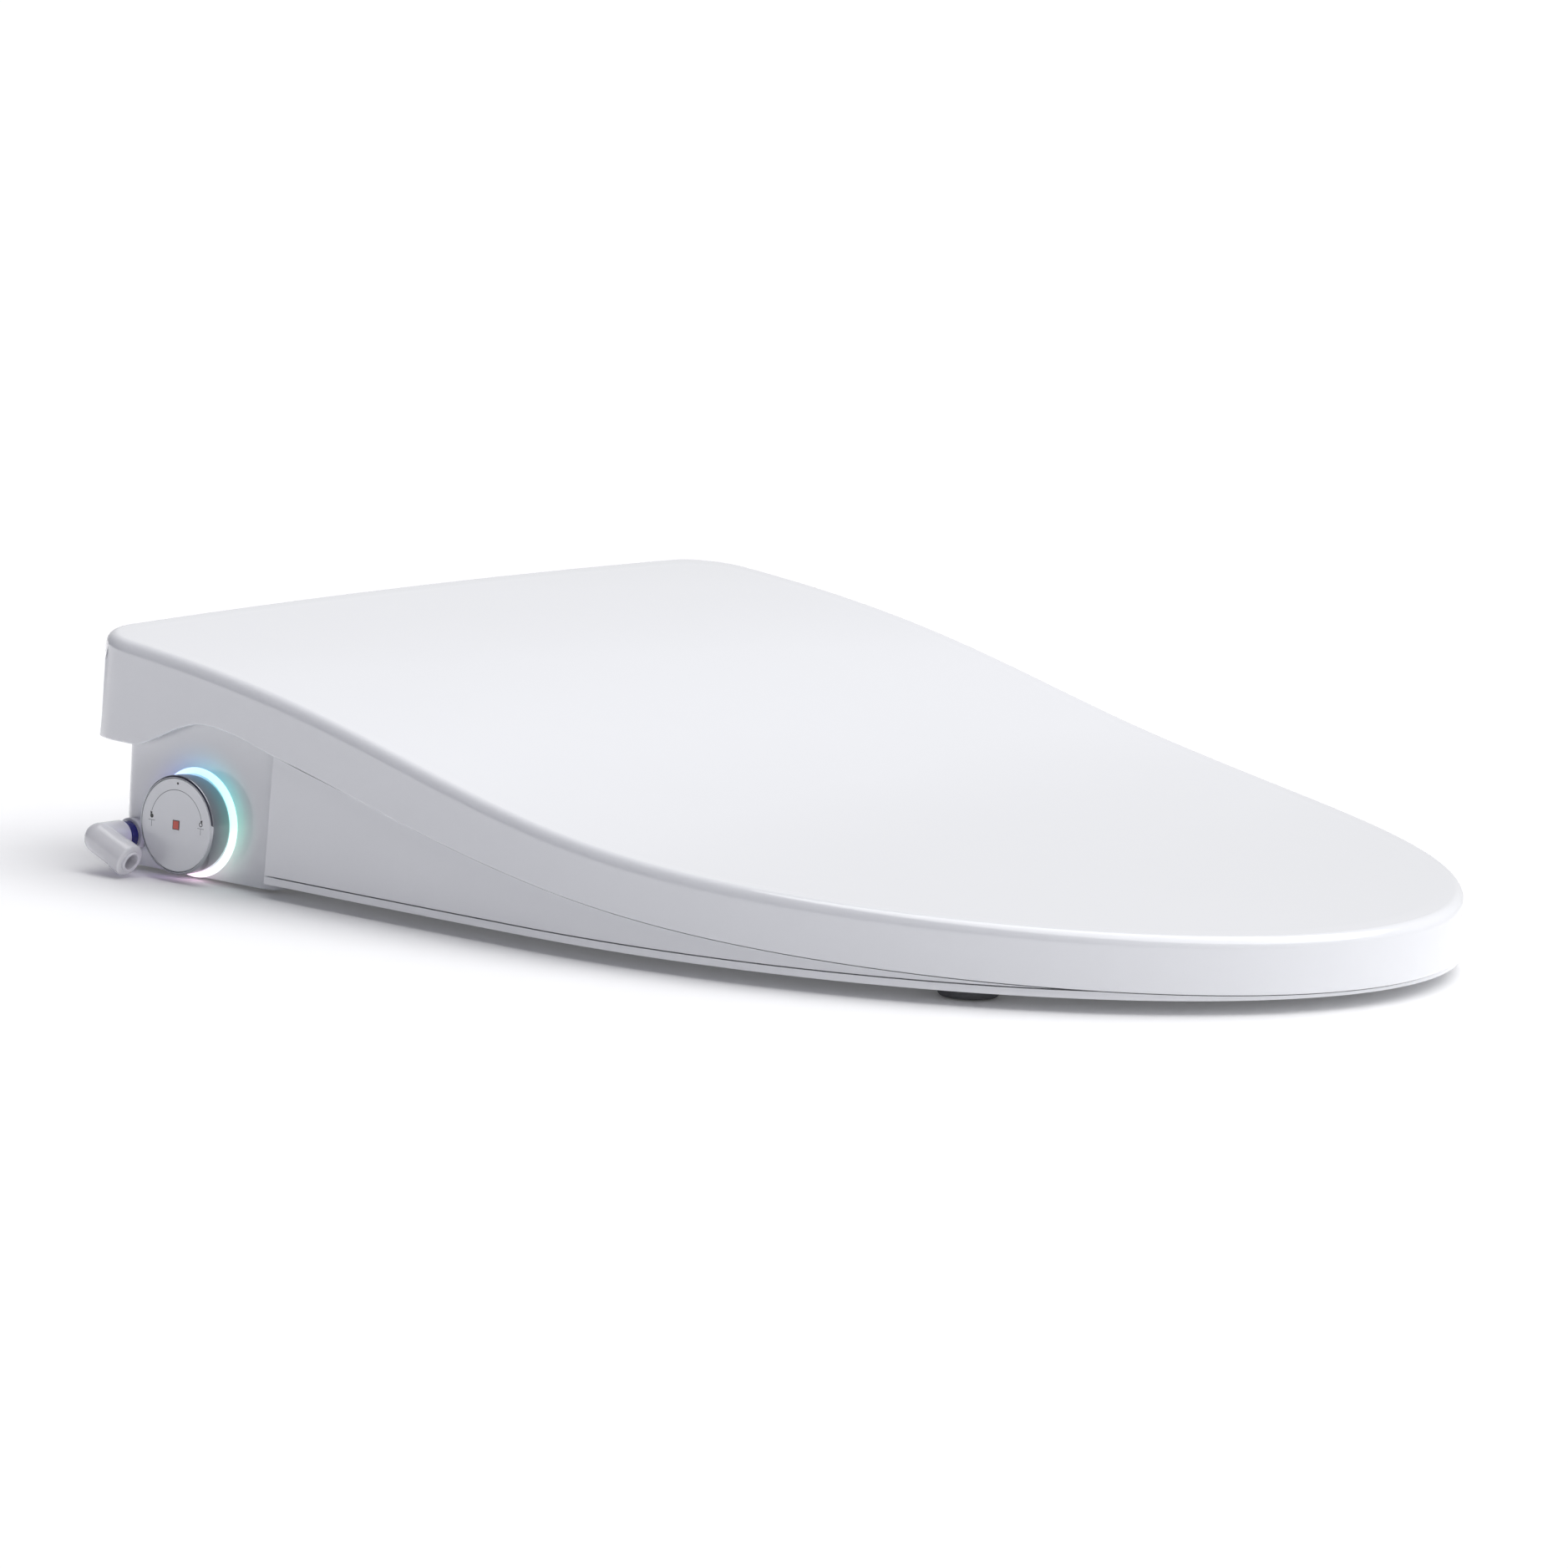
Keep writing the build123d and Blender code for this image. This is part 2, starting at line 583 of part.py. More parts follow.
with BuildPart() as knob_encoder:
    with BuildSketch(along_x(KNOB_Y, KNOB_Z, 158)):
        RectangleRounded(24, 24, 2)
        Circle(SPINDLE_RADIUS + RUNNING, mode=Mode.SUBTRACT)
    extrude(amount=14)
knob_encoder.part.label = "knob_encoder"
export_step(knob_encoder.part, "parts/knob_encoder.step")

with BuildPart() as knob_spindle:
    with BuildSketch(along_x(KNOB_Y, KNOB_Z, 160)):
        Circle(SPINDLE_RADIUS)
    extrude(amount=25)
knob_spindle.part.label = "knob_spindle"
export_step(knob_spindle.part, "parts/knob_spindle.step")

with BuildPart() as knob_shell:
    with BuildSketch(along_x(KNOB_Y, KNOB_Z, KNOB_BACK)):
        Circle(KNOB_RADIUS)
    extrude(amount=KNOB_FRONT - KNOB_BACK)
    chamfer(knob_shell.edges().group_by(Axis.X)[0], 0.5)
    with BuildSketch(along_x(KNOB_Y, KNOB_Z, KNOB_BACK)):
        Circle(KNOB_RADIUS - 2)
        Circle(6, mode=Mode.SUBTRACT)
    extrude(amount=7.4, mode=Mode.SUBTRACT)
    with BuildSketch(along_x(KNOB_Y, KNOB_Z, KNOB_BACK)):
        Circle(SPINDLE_RADIUS + RUNNING)
    extrude(amount=7.4, mode=Mode.SUBTRACT)
    with BuildSketch(along_x(KNOB_Y, KNOB_Z, KNOB_FRONT - FACE_DEPTH)):
        Circle(FACE_RADIUS)
    extrude(amount=FACE_DEPTH, mode=Mode.SUBTRACT)
knob_shell.part.label = "knob_shell"
export_step(knob_shell.part, "parts/knob_shell.step")

with BuildPart() as knob_face:
    with BuildSketch(along_x(KNOB_Y, KNOB_Z, KNOB_FRONT - FACE_DEPTH)):
        Circle(FACE_RADIUS)
    extrude(amount=FACE_DEPTH)
    with BuildSketch(along_x(KNOB_Y, KNOB_Z, KNOB_FRONT - 0.4)):
        Rectangle(*STOP_MARK)
    extrude(amount=1, mode=Mode.SUBTRACT)
knob_face.part.label = "knob_face"
export_step(knob_face.part, "parts/knob_face.step")

with BuildPart() as knob_stop_mark:
    with BuildSketch(along_x(KNOB_Y, KNOB_Z, KNOB_FRONT - 0.4)):
        Rectangle(*STOP_MARK)
    extrude(amount=0.45)
knob_stop_mark.part.label = "knob_stop_mark"
export_step(knob_stop_mark.part, "parts/knob_stop_mark.step")

# ---------------------------------------------------------------- water inlet
with BuildPart() as inlet_union:
    steps = ((INLET_HOLE, 170.3, 178), (6.7, 178, 181.2), (5.2, 181.2, 186), (SPIGOT_RADIUS, 186, 192))
    for radius, start, end in steps:
        with BuildSketch(along_x(INLET_Y, INLET_Z, start)):
            Circle(radius)
        extrude(amount=end - start)
    rims = inlet_union.edges().filter_by(GeomType.CIRCLE)
    fillet(rims.filter_by(lambda e: abs(e.radius - 6.7) < 0.01), 0.6)
    with BuildSketch(along_x(INLET_Y, INLET_Z, 160)):
        Circle(2)
    extrude(amount=40, mode=Mode.SUBTRACT)
    with BuildSketch(along_x(INLET_Y, INLET_Z, 160)):
        Circle(FILTER_RADIUS)
    extrude(amount=FILTER_END - 160, mode=Mode.SUBTRACT)
inlet_union.part.label = "inlet_union"
export_step(inlet_union.part, "parts/inlet_union.step")

with BuildPart() as inlet_filter:
    with BuildSketch(along_x(INLET_Y, INLET_Z, 171)):
        Circle(FILTER_RADIUS)
        Circle(FILTER_RADIUS - 0.8, mode=Mode.SUBTRACT)
    extrude(amount=FILTER_END - 171)
inlet_filter.part.label = "inlet_filter"
export_step(inlet_filter.part, "parts/inlet_filter.step")

with BuildPart() as inlet_band:
    with BuildSketch(along_x(INLET_Y, INLET_Z, 181.9)):
        Circle(5.9)
        Circle(5.2, mode=Mode.SUBTRACT)
    extrude(amount=3.6)
    fillet(inlet_band.edges().filter_by(GeomType.CIRCLE).filter_by(lambda e: abs(e.radius - 5.9) < 0.01), 0.3)
inlet_band.part.label = "inlet_band"
export_step(inlet_band.part, "parts/inlet_band.step")

droop = radians(ELBOW_DROOP)
arm_plane = Plane(origin=(-ELBOW_X, INLET_Y, INLET_Z), x_dir=(1, 0, 0), z_dir=(0, -cos(droop), -sin(droop)))
with BuildPart() as elbow_body:
    with BuildSketch(along_x(INLET_Y, INLET_Z, 186.2)):
        Circle(ELBOW_RADIUS)
    extrude(amount=ELBOW_X - 186.2)
    with Locations((-ELBOW_X, INLET_Y, INLET_Z)):
        Sphere(ELBOW_RADIUS)
    with BuildSketch(arm_plane):
        Circle(ELBOW_RADIUS)
    extrude(amount=ELBOW_ARM)
    with BuildSketch(arm_plane.offset(ELBOW_ARM - 5.5)):
        Circle(ELBOW_RADIUS + 0.4)
    extrude(amount=5.5)
    fillet(elbow_body.edges().group_by(Axis.Y)[0], 0.8)
    with BuildSketch(along_x(INLET_Y, INLET_Z, 180)):
        Circle(SPIGOT_RADIUS + RUNNING)
    extrude(amount=12.5, mode=Mode.SUBTRACT)
    with BuildSketch(along_x(INLET_Y, INLET_Z, 190)):
        Circle(2)
    extrude(amount=ELBOW_X - 190, mode=Mode.SUBTRACT)
    with BuildSketch(arm_plane):
        Circle(2)
    extrude(amount=ELBOW_ARM, mode=Mode.SUBTRACT)
    with BuildSketch(arm_plane.offset(ELBOW_ARM - HOSE_BORE_LENGTH)):
        Circle(HOSE_BORE)
    extrude(amount=HOSE_BORE_LENGTH, mode=Mode.SUBTRACT)
    with BuildSketch(arm_plane.offset(ELBOW_ARM - COLLET_DEPTH)):
        Circle(COLLET_BORE)
    extrude(amount=COLLET_DEPTH, mode=Mode.SUBTRACT)
elbow_body.part.label = "elbow_body"
export_step(elbow_body.part, "parts/elbow_body.step")

with BuildPart() as elbow_collet:
    with BuildSketch(arm_plane.offset(ELBOW_ARM - COLLET_DEPTH + COLLET_TRAVEL + 0.3)):
        Circle(COLLET_BORE - RUNNING)
        Circle(HOSE_BORE, mode=Mode.SUBTRACT)
    extrude(amount=COLLET_DEPTH - 0.3)
    fillet(elbow_collet.edges().group_by(Axis.Y)[0], 0.3)
elbow_collet.part.label = "elbow_collet"
export_step(elbow_collet.part, "parts/elbow_collet.step")

# ---------------------------------------------------------------- water path
with BuildPart() as solenoid_valve:
    add(block((-169.5, -125), (12.5, 24), (6, 22)))
    with BuildSketch(Plane.XY.offset(22)):
        with Locations((-148, 16)):
            Circle(7.5)
    extrude(amount=18)
    with BuildSketch(Plane.YZ.offset(-125)):
        with Locations((17, 18)):
            Circle(3)
    extrude(amount=6)
solenoid_valve.part.label = "solenoid_valve"
export_step(solenoid_valve.part, "parts/solenoid_valve.step")

with BuildPart() as heater_tank:
    add(block((-106, -52), (-48, 10), (13, 56)))
    fillet(heater_tank.edges(), 5)
    with Locations((-79, -19, 56)):
        Box(24, 24, 4, align=(Align.CENTER, Align.CENTER, Align.MIN))
heater_tank.part.label = "heater_tank"
export_step(heater_tank.part, "parts/heater_tank.step")

with BuildPart() as inlet_hose:
    with BuildLine() as route:
        FilletPolyline((-119, 17, 18), (-90, 17, 18), (-90, 17, 40), (-90, 10, 40), radius=4)
    with BuildSketch(Plane(origin=route.line @ 0, z_dir=route.line % 0)):
        Circle(3)
    sweep()
inlet_hose.part.label = "inlet_hose"
export_step(inlet_hose.part, "parts/inlet_hose.step")

with BuildPart() as diverter_valve:
    with BuildSketch(Plane.XY.offset(50)):
        with Locations((0, 8)):
            Circle(13)
    extrude(amount=8)
    with BuildSketch(Plane.YZ.offset(-40)):
        with Locations((8, 54)):
            Circle(3)
    extrude(amount=30)
diverter_valve.part.label = "diverter_valve"
export_step(diverter_valve.part, "parts/diverter_valve.step")

with BuildPart() as outlet_hose:
    with BuildSketch(Plane.YZ.offset(-52)):
        with Locations((5, 48)):
            Circle(2.6)
    extrude(amount=4)
    with BuildLine() as outlet_route:
        FilletPolyline((-48, 5, 48), (-44, 5, 48), (-44, 8, 54), (-40, 8, 54), radius=1.5)
    with BuildSketch(Plane(origin=outlet_route.line @ 0, z_dir=outlet_route.line % 0)):
        Circle(2.6)
    sweep()
outlet_hose.part.label = "outlet_hose"
export_step(outlet_hose.part, "parts/outlet_hose.step")

# ---------------------------------------------------------------- nozzles
slope_out = (0, -cos(NOZZLE_SLOPE), -sin(NOZZLE_SLOPE))


def nozzle_plane(x, rise, along):
    """Plane across a nozzle's axis: rise above the axis, along from the tail towards the tip."""
    y = NOZZLE_TAIL[0] - along * cos(NOZZLE_SLOPE) - rise * sin(NOZZLE_SLOPE)
    z = NOZZLE_TAIL[1] - along * sin(NOZZLE_SLOPE) + rise * cos(NOZZLE_SLOPE)
    return Plane(origin=(x, y, z), x_dir=(1, 0, 0), z_dir=slope_out)


def side_plane(x, rise, along):
    """Plane facing -X with its x along the nozzle's way out and its y towards the nozzle's top."""
    return Plane(origin=nozzle_plane(x, rise, along).origin, x_dir=slope_out, z_dir=(-1, 0, 0))


def rack_outline():
    """Row of straight-sided teeth, with a space facing the pinion at rest."""
    pitch = pi * MODULE
    tip, root = 0.65 * MODULE, -1.15 * MODULE
    half = pitch / 4 - BACKLASH / 2
    points = []
    for tooth in range(-20, 9):
        middle = PINION_AT + (tooth + 0.5) * pitch
        for height, sign in ((root, -1), (tip, -1), (tip, 1), (root, 1)):
            points.append((middle + sign * (half - height * tan(PRESSURE_ANGLE)), height))
    points += [(points[-1][0], -2.6), (points[0][0], -2.6)]
    return points


def involute(radius):
    """Half angle of a pinion tooth at a radius outside the base circle."""
    pitch_radius = MODULE * PINION_TEETH / 2
    base = pitch_radius * cos(PRESSURE_ANGLE)
    at_pitch = tan(PRESSURE_ANGLE) - PRESSURE_ANGLE
    angle = acos(min(base / radius, 1))
    half = (pi / 2 - BACKLASH / 2) / PINION_TEETH
    return half + at_pitch - (tan(angle) - angle)


def pinion(x, name):
    """Pinion with its motor shaft, one tooth pointing down into the rack."""
    pitch_radius = MODULE * PINION_TEETH / 2
    base = pitch_radius * cos(PRESSURE_ANGLE)
    root, tip = pitch_radius - 1.1 * MODULE, pitch_radius + 0.85 * MODULE
    outward = 1 if x > 0 else -1
    with BuildPart() as gear:
        with BuildSketch(side_plane(x + GEAR_WIDTH / 2, RACK_LINE + pitch_radius, PINION_AT)):
            Circle(root)
            with PolarLocations(0, PINION_TEETH, start_angle=-90):
                with BuildLine():
                    radii = (base, (base + tip) / 2, tip)
                    flank = [(r * cos(involute(r)), r * sin(involute(r))) for r in radii]
                    other = [(u, -v) for u, v in flank]
                    foot = (root * cos(0.1) * 0.9, root * sin(involute(base)) * 0.9)
                    rise = Line(foot, flank[0])
                    up = ThreePointArc(*flank)
                    Line(up @ 1, other[2])
                    ThreePointArc(*other)
                    Line(other[0], (foot[0], -foot[1]))
                    Line((foot[0], -foot[1]), foot)
                make_face()
        extrude(amount=GEAR_WIDTH)
        with BuildSketch(side_plane(x, RACK_LINE + pitch_radius, PINION_AT)):
            Circle(1.5)
        extrude(amount=-outward * 12)
    gear.part.label = name
    export_step(gear.part, f"parts/{name}.step")


def nozzle(x, name):
    """Wash tube with its rack, and the spray tip on its end."""
    with BuildPart() as tube:
        with BuildSketch(nozzle_plane(x, 0, 0)):
            Circle(NOZZLE_RADIUS)
            Circle(2.2, mode=Mode.SUBTRACT)
        extrude(amount=NOZZLE_LENGTH - TIP_LENGTH)
        with BuildSketch(side_plane(x + GEAR_WIDTH / 2, RACK_LINE, 0)):
            with BuildLine():
                Polyline(*rack_outline(), close=True)
            make_face()
        extrude(amount=GEAR_WIDTH)
    with BuildPart() as clean:
        add(tube.part)
        with BuildSketch(nozzle_plane(x, 0, -30)):
            Circle(2.2)
        extrude(amount=200, mode=Mode.SUBTRACT)
        with BuildSketch(nozzle_plane(x, 0, -30)):
            Rectangle(40, 40)
        extrude(amount=31, mode=Mode.SUBTRACT)
        with BuildSketch(nozzle_plane(x, 0, NOZZLE_LENGTH - TIP_LENGTH)):
            Rectangle(40, 40)
        extrude(amount=60, mode=Mode.SUBTRACT)
    clean.part.label = name + "_tube"
    export_step(clean.part, f"parts/{name}_tube.step")
    with BuildPart() as tip:
        with BuildSketch(nozzle_plane(x, 0, NOZZLE_LENGTH - TIP_LENGTH)):
            Circle(NOZZLE_RADIUS)
        extrude(amount=TIP_LENGTH)
        fillet(tip.edges().sort_by(Axis.Y)[0], 2.5)
        with BuildSketch(nozzle_plane(x, 0, NOZZLE_LENGTH - TIP_LENGTH)):
            Circle(2.2)
        extrude(amount=TIP_LENGTH - 5, mode=Mode.SUBTRACT)
        spray = side_plane(x, 0, NOZZLE_LENGTH - 8)
        upward = (0, -sin(NOZZLE_SLOPE), cos(NOZZLE_SLOPE))
        with BuildSketch(Plane(origin=spray.origin, x_dir=(1, 0, 0), z_dir=upward)):
            with PolarLocations(1.6, 5):
                Circle(0.45)
        extrude(amount=10, mode=Mode.SUBTRACT)
    tip.part.label = name + "_tip"
    export_step(tip.part, f"parts/{name}_tip.step")


for nozzle_name, nozzle_side in (("rear_nozzle", -1), ("front_nozzle", 1)):
    nozzle(nozzle_side * NOZZLE_X, nozzle_name)
    pinion(nozzle_side * NOZZLE_X, nozzle_name.replace("nozzle", "pinion"))

motor_rise = RACK_LINE + MODULE * PINION_TEETH / 2
with BuildPart() as nozzle_motors:
    for side in (-1, 1):
        with BuildSketch(side_plane(side * 15, motor_rise, PINION_AT)):
            Circle(8)
            Circle(1.5 + RUNNING, mode=Mode.SUBTRACT)
        extrude(amount=-side * 14)
nozzle_motors.part.label = "nozzle_motors"
export_step(nozzle_motors.part, "parts/nozzle_motors.step")

with BuildPart() as nozzle_cradle:
    with BuildSketch(nozzle_plane(0, 0, 2)):
        Rectangle(38, 16)
        with Locations((NOZZLE_X, 0), (-NOZZLE_X, 0)):
            Circle(NOZZLE_RADIUS + 0.1, mode=Mode.SUBTRACT)
            with Locations((0, 8)):
                Rectangle(6, 16, mode=Mode.SUBTRACT)
    extrude(amount=50)
nozzle_cradle.part.label = "nozzle_cradle"
export_step(nozzle_cradle.part, "parts/nozzle_cradle.step")

with BuildPart() as nozzle_shroud:
    add(block((-28, 28), (-96, HOUSING_FRONT - 0.3), (3, 33)))
    fillet(nozzle_shroud.edges().filter_by(Axis.Y), 5)
    fillet(nozzle_shroud.edges().filter_by(Axis.Z).group_by(Axis.Y)[0], 3)
    add(block((-25.5, 25.5), (-93.5, -50), (5.5, 30.5)), mode=Mode.SUBTRACT)
    for side in (-1, 1):
        with BuildSketch(nozzle_plane(side * NOZZLE_X, 0, NOZZLE_LENGTH - 6)):
            Circle(NOZZLE_RADIUS + 0.8)
            with Locations((0, NOZZLE_RADIUS)):
                Rectangle(GEAR_WIDTH + 1.6, 7)
        extrude(amount=40, mode=Mode.SUBTRACT)
nozzle_shroud.part.label = "nozzle_shroud"
export_step(nozzle_shroud.part, "parts/nozzle_shroud.step")

# ---------------------------------------------------------------- dryer
fan_x, fan_y = FAN_CENTRE
with BuildPart() as dryer_case:
    with BuildSketch(Plane.XY.offset(13)):
        with Locations(FAN_CENTRE):
            Circle(FAN_RADIUS + 4)
        with Locations(((fan_x - FAN_RADIUS - 4 + OUTLET_X[1]) / 2, (fan_y - 52) / 2)):
            Rectangle(OUTLET_X[1] - fan_x + FAN_RADIUS + 4, fan_y + 52)
    extrude(amount=20)
    with BuildSketch(Plane.XY.offset(15)):
        with Locations(FAN_CENTRE):
            Circle(FAN_RADIUS + 2)
        with Locations(((fan_x - FAN_RADIUS - 2 + OUTLET_X[1] - 2) / 2, (fan_y - 60) / 2)):
            Rectangle(OUTLET_X[1] - 2 - fan_x + FAN_RADIUS + 2, fan_y + 60)
    extrude(amount=16, mode=Mode.SUBTRACT)
    with BuildSketch(Plane.XY.offset(10)):
        with Locations(FAN_CENTRE):
            Circle(13)
    extrude(amount=6, mode=Mode.SUBTRACT)
    with BuildSketch(Plane.XY.offset(30)):
        with Locations(FAN_CENTRE):
            Circle(2.5)
    extrude(amount=6, mode=Mode.SUBTRACT)
dryer_case.part.label = "dryer_case"
export_step(dryer_case.part, "parts/dryer_case.step")

with BuildPart() as dryer_impeller:
    with BuildSketch(Plane.XY.offset(16)):
        with Locations(FAN_CENTRE):
            Circle(FAN_RADIUS)
            Circle(FAN_RADIUS - 6, mode=Mode.SUBTRACT)
    extrude(amount=1.2)
    with BuildSketch(Plane.XY.offset(28.8)):
        with Locations(FAN_CENTRE):
            Circle(FAN_RADIUS)
    extrude(amount=1.2)
    with BuildSketch(Plane.XY.offset(17.2)):
        with Locations(FAN_CENTRE):
            with PolarLocations(FAN_RADIUS - 3.2, FAN_BLADES):
                with Locations(Location((0, 0), 35)):
                    Rectangle(6, 0.9)
    extrude(amount=11.6)
    with BuildSketch(Plane.XY.offset(22)):
        with Locations(FAN_CENTRE):
            Circle(4)
    extrude(amount=7)
    with BuildSketch(Plane.XY.offset(30)):
        with Locations(FAN_CENTRE):
            Circle(1.5)
    extrude(amount=10)
dryer_impeller.part.label = "dryer_impeller"
export_step(dryer_impeller.part, "parts/dryer_impeller.step")

with BuildPart() as dryer_motor:
    with BuildSketch(Plane.XY.offset(33.2)):
        with Locations(FAN_CENTRE):
            Circle(14)
            Circle(1.5 + RUNNING, mode=Mode.SUBTRACT)
    extrude(amount=20)
    fillet(dryer_motor.edges().group_by(Axis.Z)[-1].sort_by(SortBy.LENGTH)[-1], 2)
dryer_motor.part.label = "dryer_motor"
export_step(dryer_motor.part, "parts/dryer_motor.step")

with BuildPart() as dryer_heater:
    with BuildSketch(Plane.XZ.offset(34)):
        with Locations(((fan_x - FAN_RADIUS - 4 + OUTLET_X[1]) / 2, 23)):
            Rectangle(9, 15)
            with GridLocations(2.2, 4.6, 3, 3):
                Rectangle(1.4, 3.6, mode=Mode.SUBTRACT)
    extrude(amount=12)
dryer_heater.part.label = "dryer_heater"
export_step(dryer_heater.part, "parts/dryer_heater.step")

flap_x = (OUTLET_X[0] + 2.4, OUTLET_X[1] - 2.4)
with BuildPart() as dryer_duct:
    wide, high = [(low - 2, top + 2) for low, top in (OUTLET_X, OUTLET_Z)]
    add(block(wide, (-60.4, HOUSING_FRONT - 0.2), high))
    mouth = block((OUTLET_X[0] + 1, OUTLET_X[1] - 1), (-70, -50), (OUTLET_Z[0] + 0.5, OUTLET_Z[1] - 0.5))
    add(mouth, mode=Mode.SUBTRACT)
    with BuildSketch(Plane.YZ.offset(OUTLET_X[0] - 1)):
        with Locations((FLAP_Y, FLAP_TOP)):
            Circle(0.9 + RUNNING)
    extrude(amount=OUTLET_X[1] - OUTLET_X[0] + 2, mode=Mode.SUBTRACT)
dryer_duct.part.label = "dryer_duct"
export_step(dryer_duct.part, "parts/dryer_duct.step")

with BuildPart() as dryer_flap:
    add(block(flap_x, (FLAP_Y - 0.7, FLAP_Y + 0.7), (OUTLET_Z[0] + 1.1, FLAP_TOP)))
    with BuildSketch(Plane.YZ.offset(flap_x[0])):
        with Locations((FLAP_Y, FLAP_TOP)):
            Circle(1.1)
    extrude(amount=flap_x[1] - flap_x[0])
    with BuildSketch(Plane.YZ.offset(OUTLET_X[0] - 0.6)):
        with Locations((FLAP_Y, FLAP_TOP)):
            Circle(0.9)
    extrude(amount=OUTLET_X[1] - OUTLET_X[0] + 1.2)
dryer_flap.part.label = "dryer_flap"
export_step(dryer_flap.part, "parts/dryer_flap.step")

with BuildPart() as night_light_lens:
    with BuildSketch(Plane.XZ.offset(-HOUSING_FRONT - COVER_WALL)):
        with Locations((-62, 24)):
            Circle(4)
    extrude(amount=COVER_WALL + 0.6)
night_light_lens.part.label = "night_light_lens"
export_step(night_light_lens.part, "parts/night_light_lens.step")

# ---------------------------------------------------------------- deodoriser, button, power
with BuildPart() as deodoriser_case:
    outside = [(low - 2.5, high + 2.5) for low, high in (CARTRIDGE_Y, CARTRIDGE_Z)]
    inside = [(low - 0.5, high + 0.5) for low, high in (CARTRIDGE_Y, CARTRIDGE_Z)]
    add(block((116, 175.3), *outside))
    add(block((118, 190), *inside), mode=Mode.SUBTRACT)
deodoriser_case.part.label = "deodoriser_case"
export_step(deodoriser_case.part, "parts/deodoriser_case.step")

with BuildPart() as filter_cartridge:
    add(block((122, CHEEK_X), CARTRIDGE_Y, CARTRIDGE_Z))
    fillet(filter_cartridge.edges().filter_by(Axis.X), 2)
    with BuildSketch(Plane.XZ.offset(-CARTRIDGE_Y[1])):
        with Locations((146, 25)):
            with GridLocations(4, 24, 9, 1):
                Rectangle(2, 24)
    extrude(amount=-3, mode=Mode.SUBTRACT)
    with BuildSketch(Plane.YZ.offset(CHEEK_X)):
        with Locations(((CARTRIDGE_Y[0] + CARTRIDGE_Y[1]) / 2, 15)):
            SlotOverall(18, 5)
    extrude(amount=-3, mode=Mode.SUBTRACT)
filter_cartridge.part.label = "filter_cartridge"
export_step(filter_cartridge.part, "parts/filter_cartridge.step")

with BuildPart() as release_button:
    add(block((166, CHEEK_X + 0.8), BUTTON_Y, BUTTON_Z))
    fillet(release_button.edges().filter_by(Axis.X), 2)
    fillet(release_button.edges().group_by(Axis.X)[-1], 0.6)
release_button.part.label = "release_button"
export_step(release_button.part, "parts/release_button.step")

with BuildPart() as main_board:
    add(block((-104, 104), (-44, 6), (62, 63.6)))
    chips = ((-70, -20, 30, 20, 5), (-20, -30, 14, 14, 3), (25, -15, 22, 16, 6), (75, -25, 26, 26, 4))
    for x, y, long, wide, high in chips:
        with Locations((x, y, 63.6)):
            Box(long, wide, high, align=(Align.CENTER, Align.CENTER, Align.MIN))
main_board.part.label = "main_board"
export_step(main_board.part, "parts/main_board.step")

with BuildPart() as power_module:
    add(block((121, 172), (-4.5, 17), (17, 50)))
    fillet(power_module.edges().filter_by(Axis.Z), 3)
power_module.part.label = "power_module"
export_step(power_module.part, "parts/power_module.step")

with BuildPart() as cord_gland:
    with BuildSketch(Plane.XZ.offset(-18)):
        with Locations((GLAND_X, GLAND_Z)):
            Circle(GLAND_RADIUS)
    extrude(amount=-15)
    with BuildSketch(Plane.XZ.offset(-HOUSING_REAR)):
        with Locations((GLAND_X, GLAND_Z)):
            Circle(GLAND_RADIUS + 2.5)
    extrude(amount=-3)
    with BuildSketch(Plane.XZ.offset(-15)):
        with Locations((GLAND_X, GLAND_Z)):
            Circle(GLAND_BORE)
    extrude(amount=-20, mode=Mode.SUBTRACT)
cord_gland.part.label = "cord_gland"
export_step(cord_gland.part, "parts/cord_gland.step")
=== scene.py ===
"""Looks of the electric bidet seat: its smooth lid, its knob, every finish, and a plain studio.

Surfaces are worked out in millimetres in the CAD's frame and put into meshes in metres.
"""

import json
from math import cos, pi, radians, sin

import bpy
import numpy as np
from bpy.props import FloatProperty, FloatVectorProperty, PointerProperty
from mathutils import Matrix, Vector


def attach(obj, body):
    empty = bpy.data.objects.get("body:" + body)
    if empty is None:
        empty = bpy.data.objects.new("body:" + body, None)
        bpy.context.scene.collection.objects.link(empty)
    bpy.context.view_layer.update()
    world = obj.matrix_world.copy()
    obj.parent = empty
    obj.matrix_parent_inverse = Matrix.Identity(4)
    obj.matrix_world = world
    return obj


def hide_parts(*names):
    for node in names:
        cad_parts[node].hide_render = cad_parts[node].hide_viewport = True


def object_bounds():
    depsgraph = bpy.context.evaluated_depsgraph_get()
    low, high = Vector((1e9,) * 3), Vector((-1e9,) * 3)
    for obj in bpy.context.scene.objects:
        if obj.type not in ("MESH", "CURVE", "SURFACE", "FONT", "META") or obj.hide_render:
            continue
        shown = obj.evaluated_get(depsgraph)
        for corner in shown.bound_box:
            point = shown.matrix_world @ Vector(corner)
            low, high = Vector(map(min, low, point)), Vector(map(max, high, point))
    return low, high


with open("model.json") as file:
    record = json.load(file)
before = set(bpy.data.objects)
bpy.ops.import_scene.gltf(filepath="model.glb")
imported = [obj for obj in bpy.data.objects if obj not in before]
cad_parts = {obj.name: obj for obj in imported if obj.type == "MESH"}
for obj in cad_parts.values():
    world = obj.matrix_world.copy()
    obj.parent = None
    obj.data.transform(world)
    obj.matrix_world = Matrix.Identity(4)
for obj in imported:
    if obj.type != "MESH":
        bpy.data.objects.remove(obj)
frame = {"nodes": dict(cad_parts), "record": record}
CAD_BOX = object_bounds()
RECORD = frame["record"]
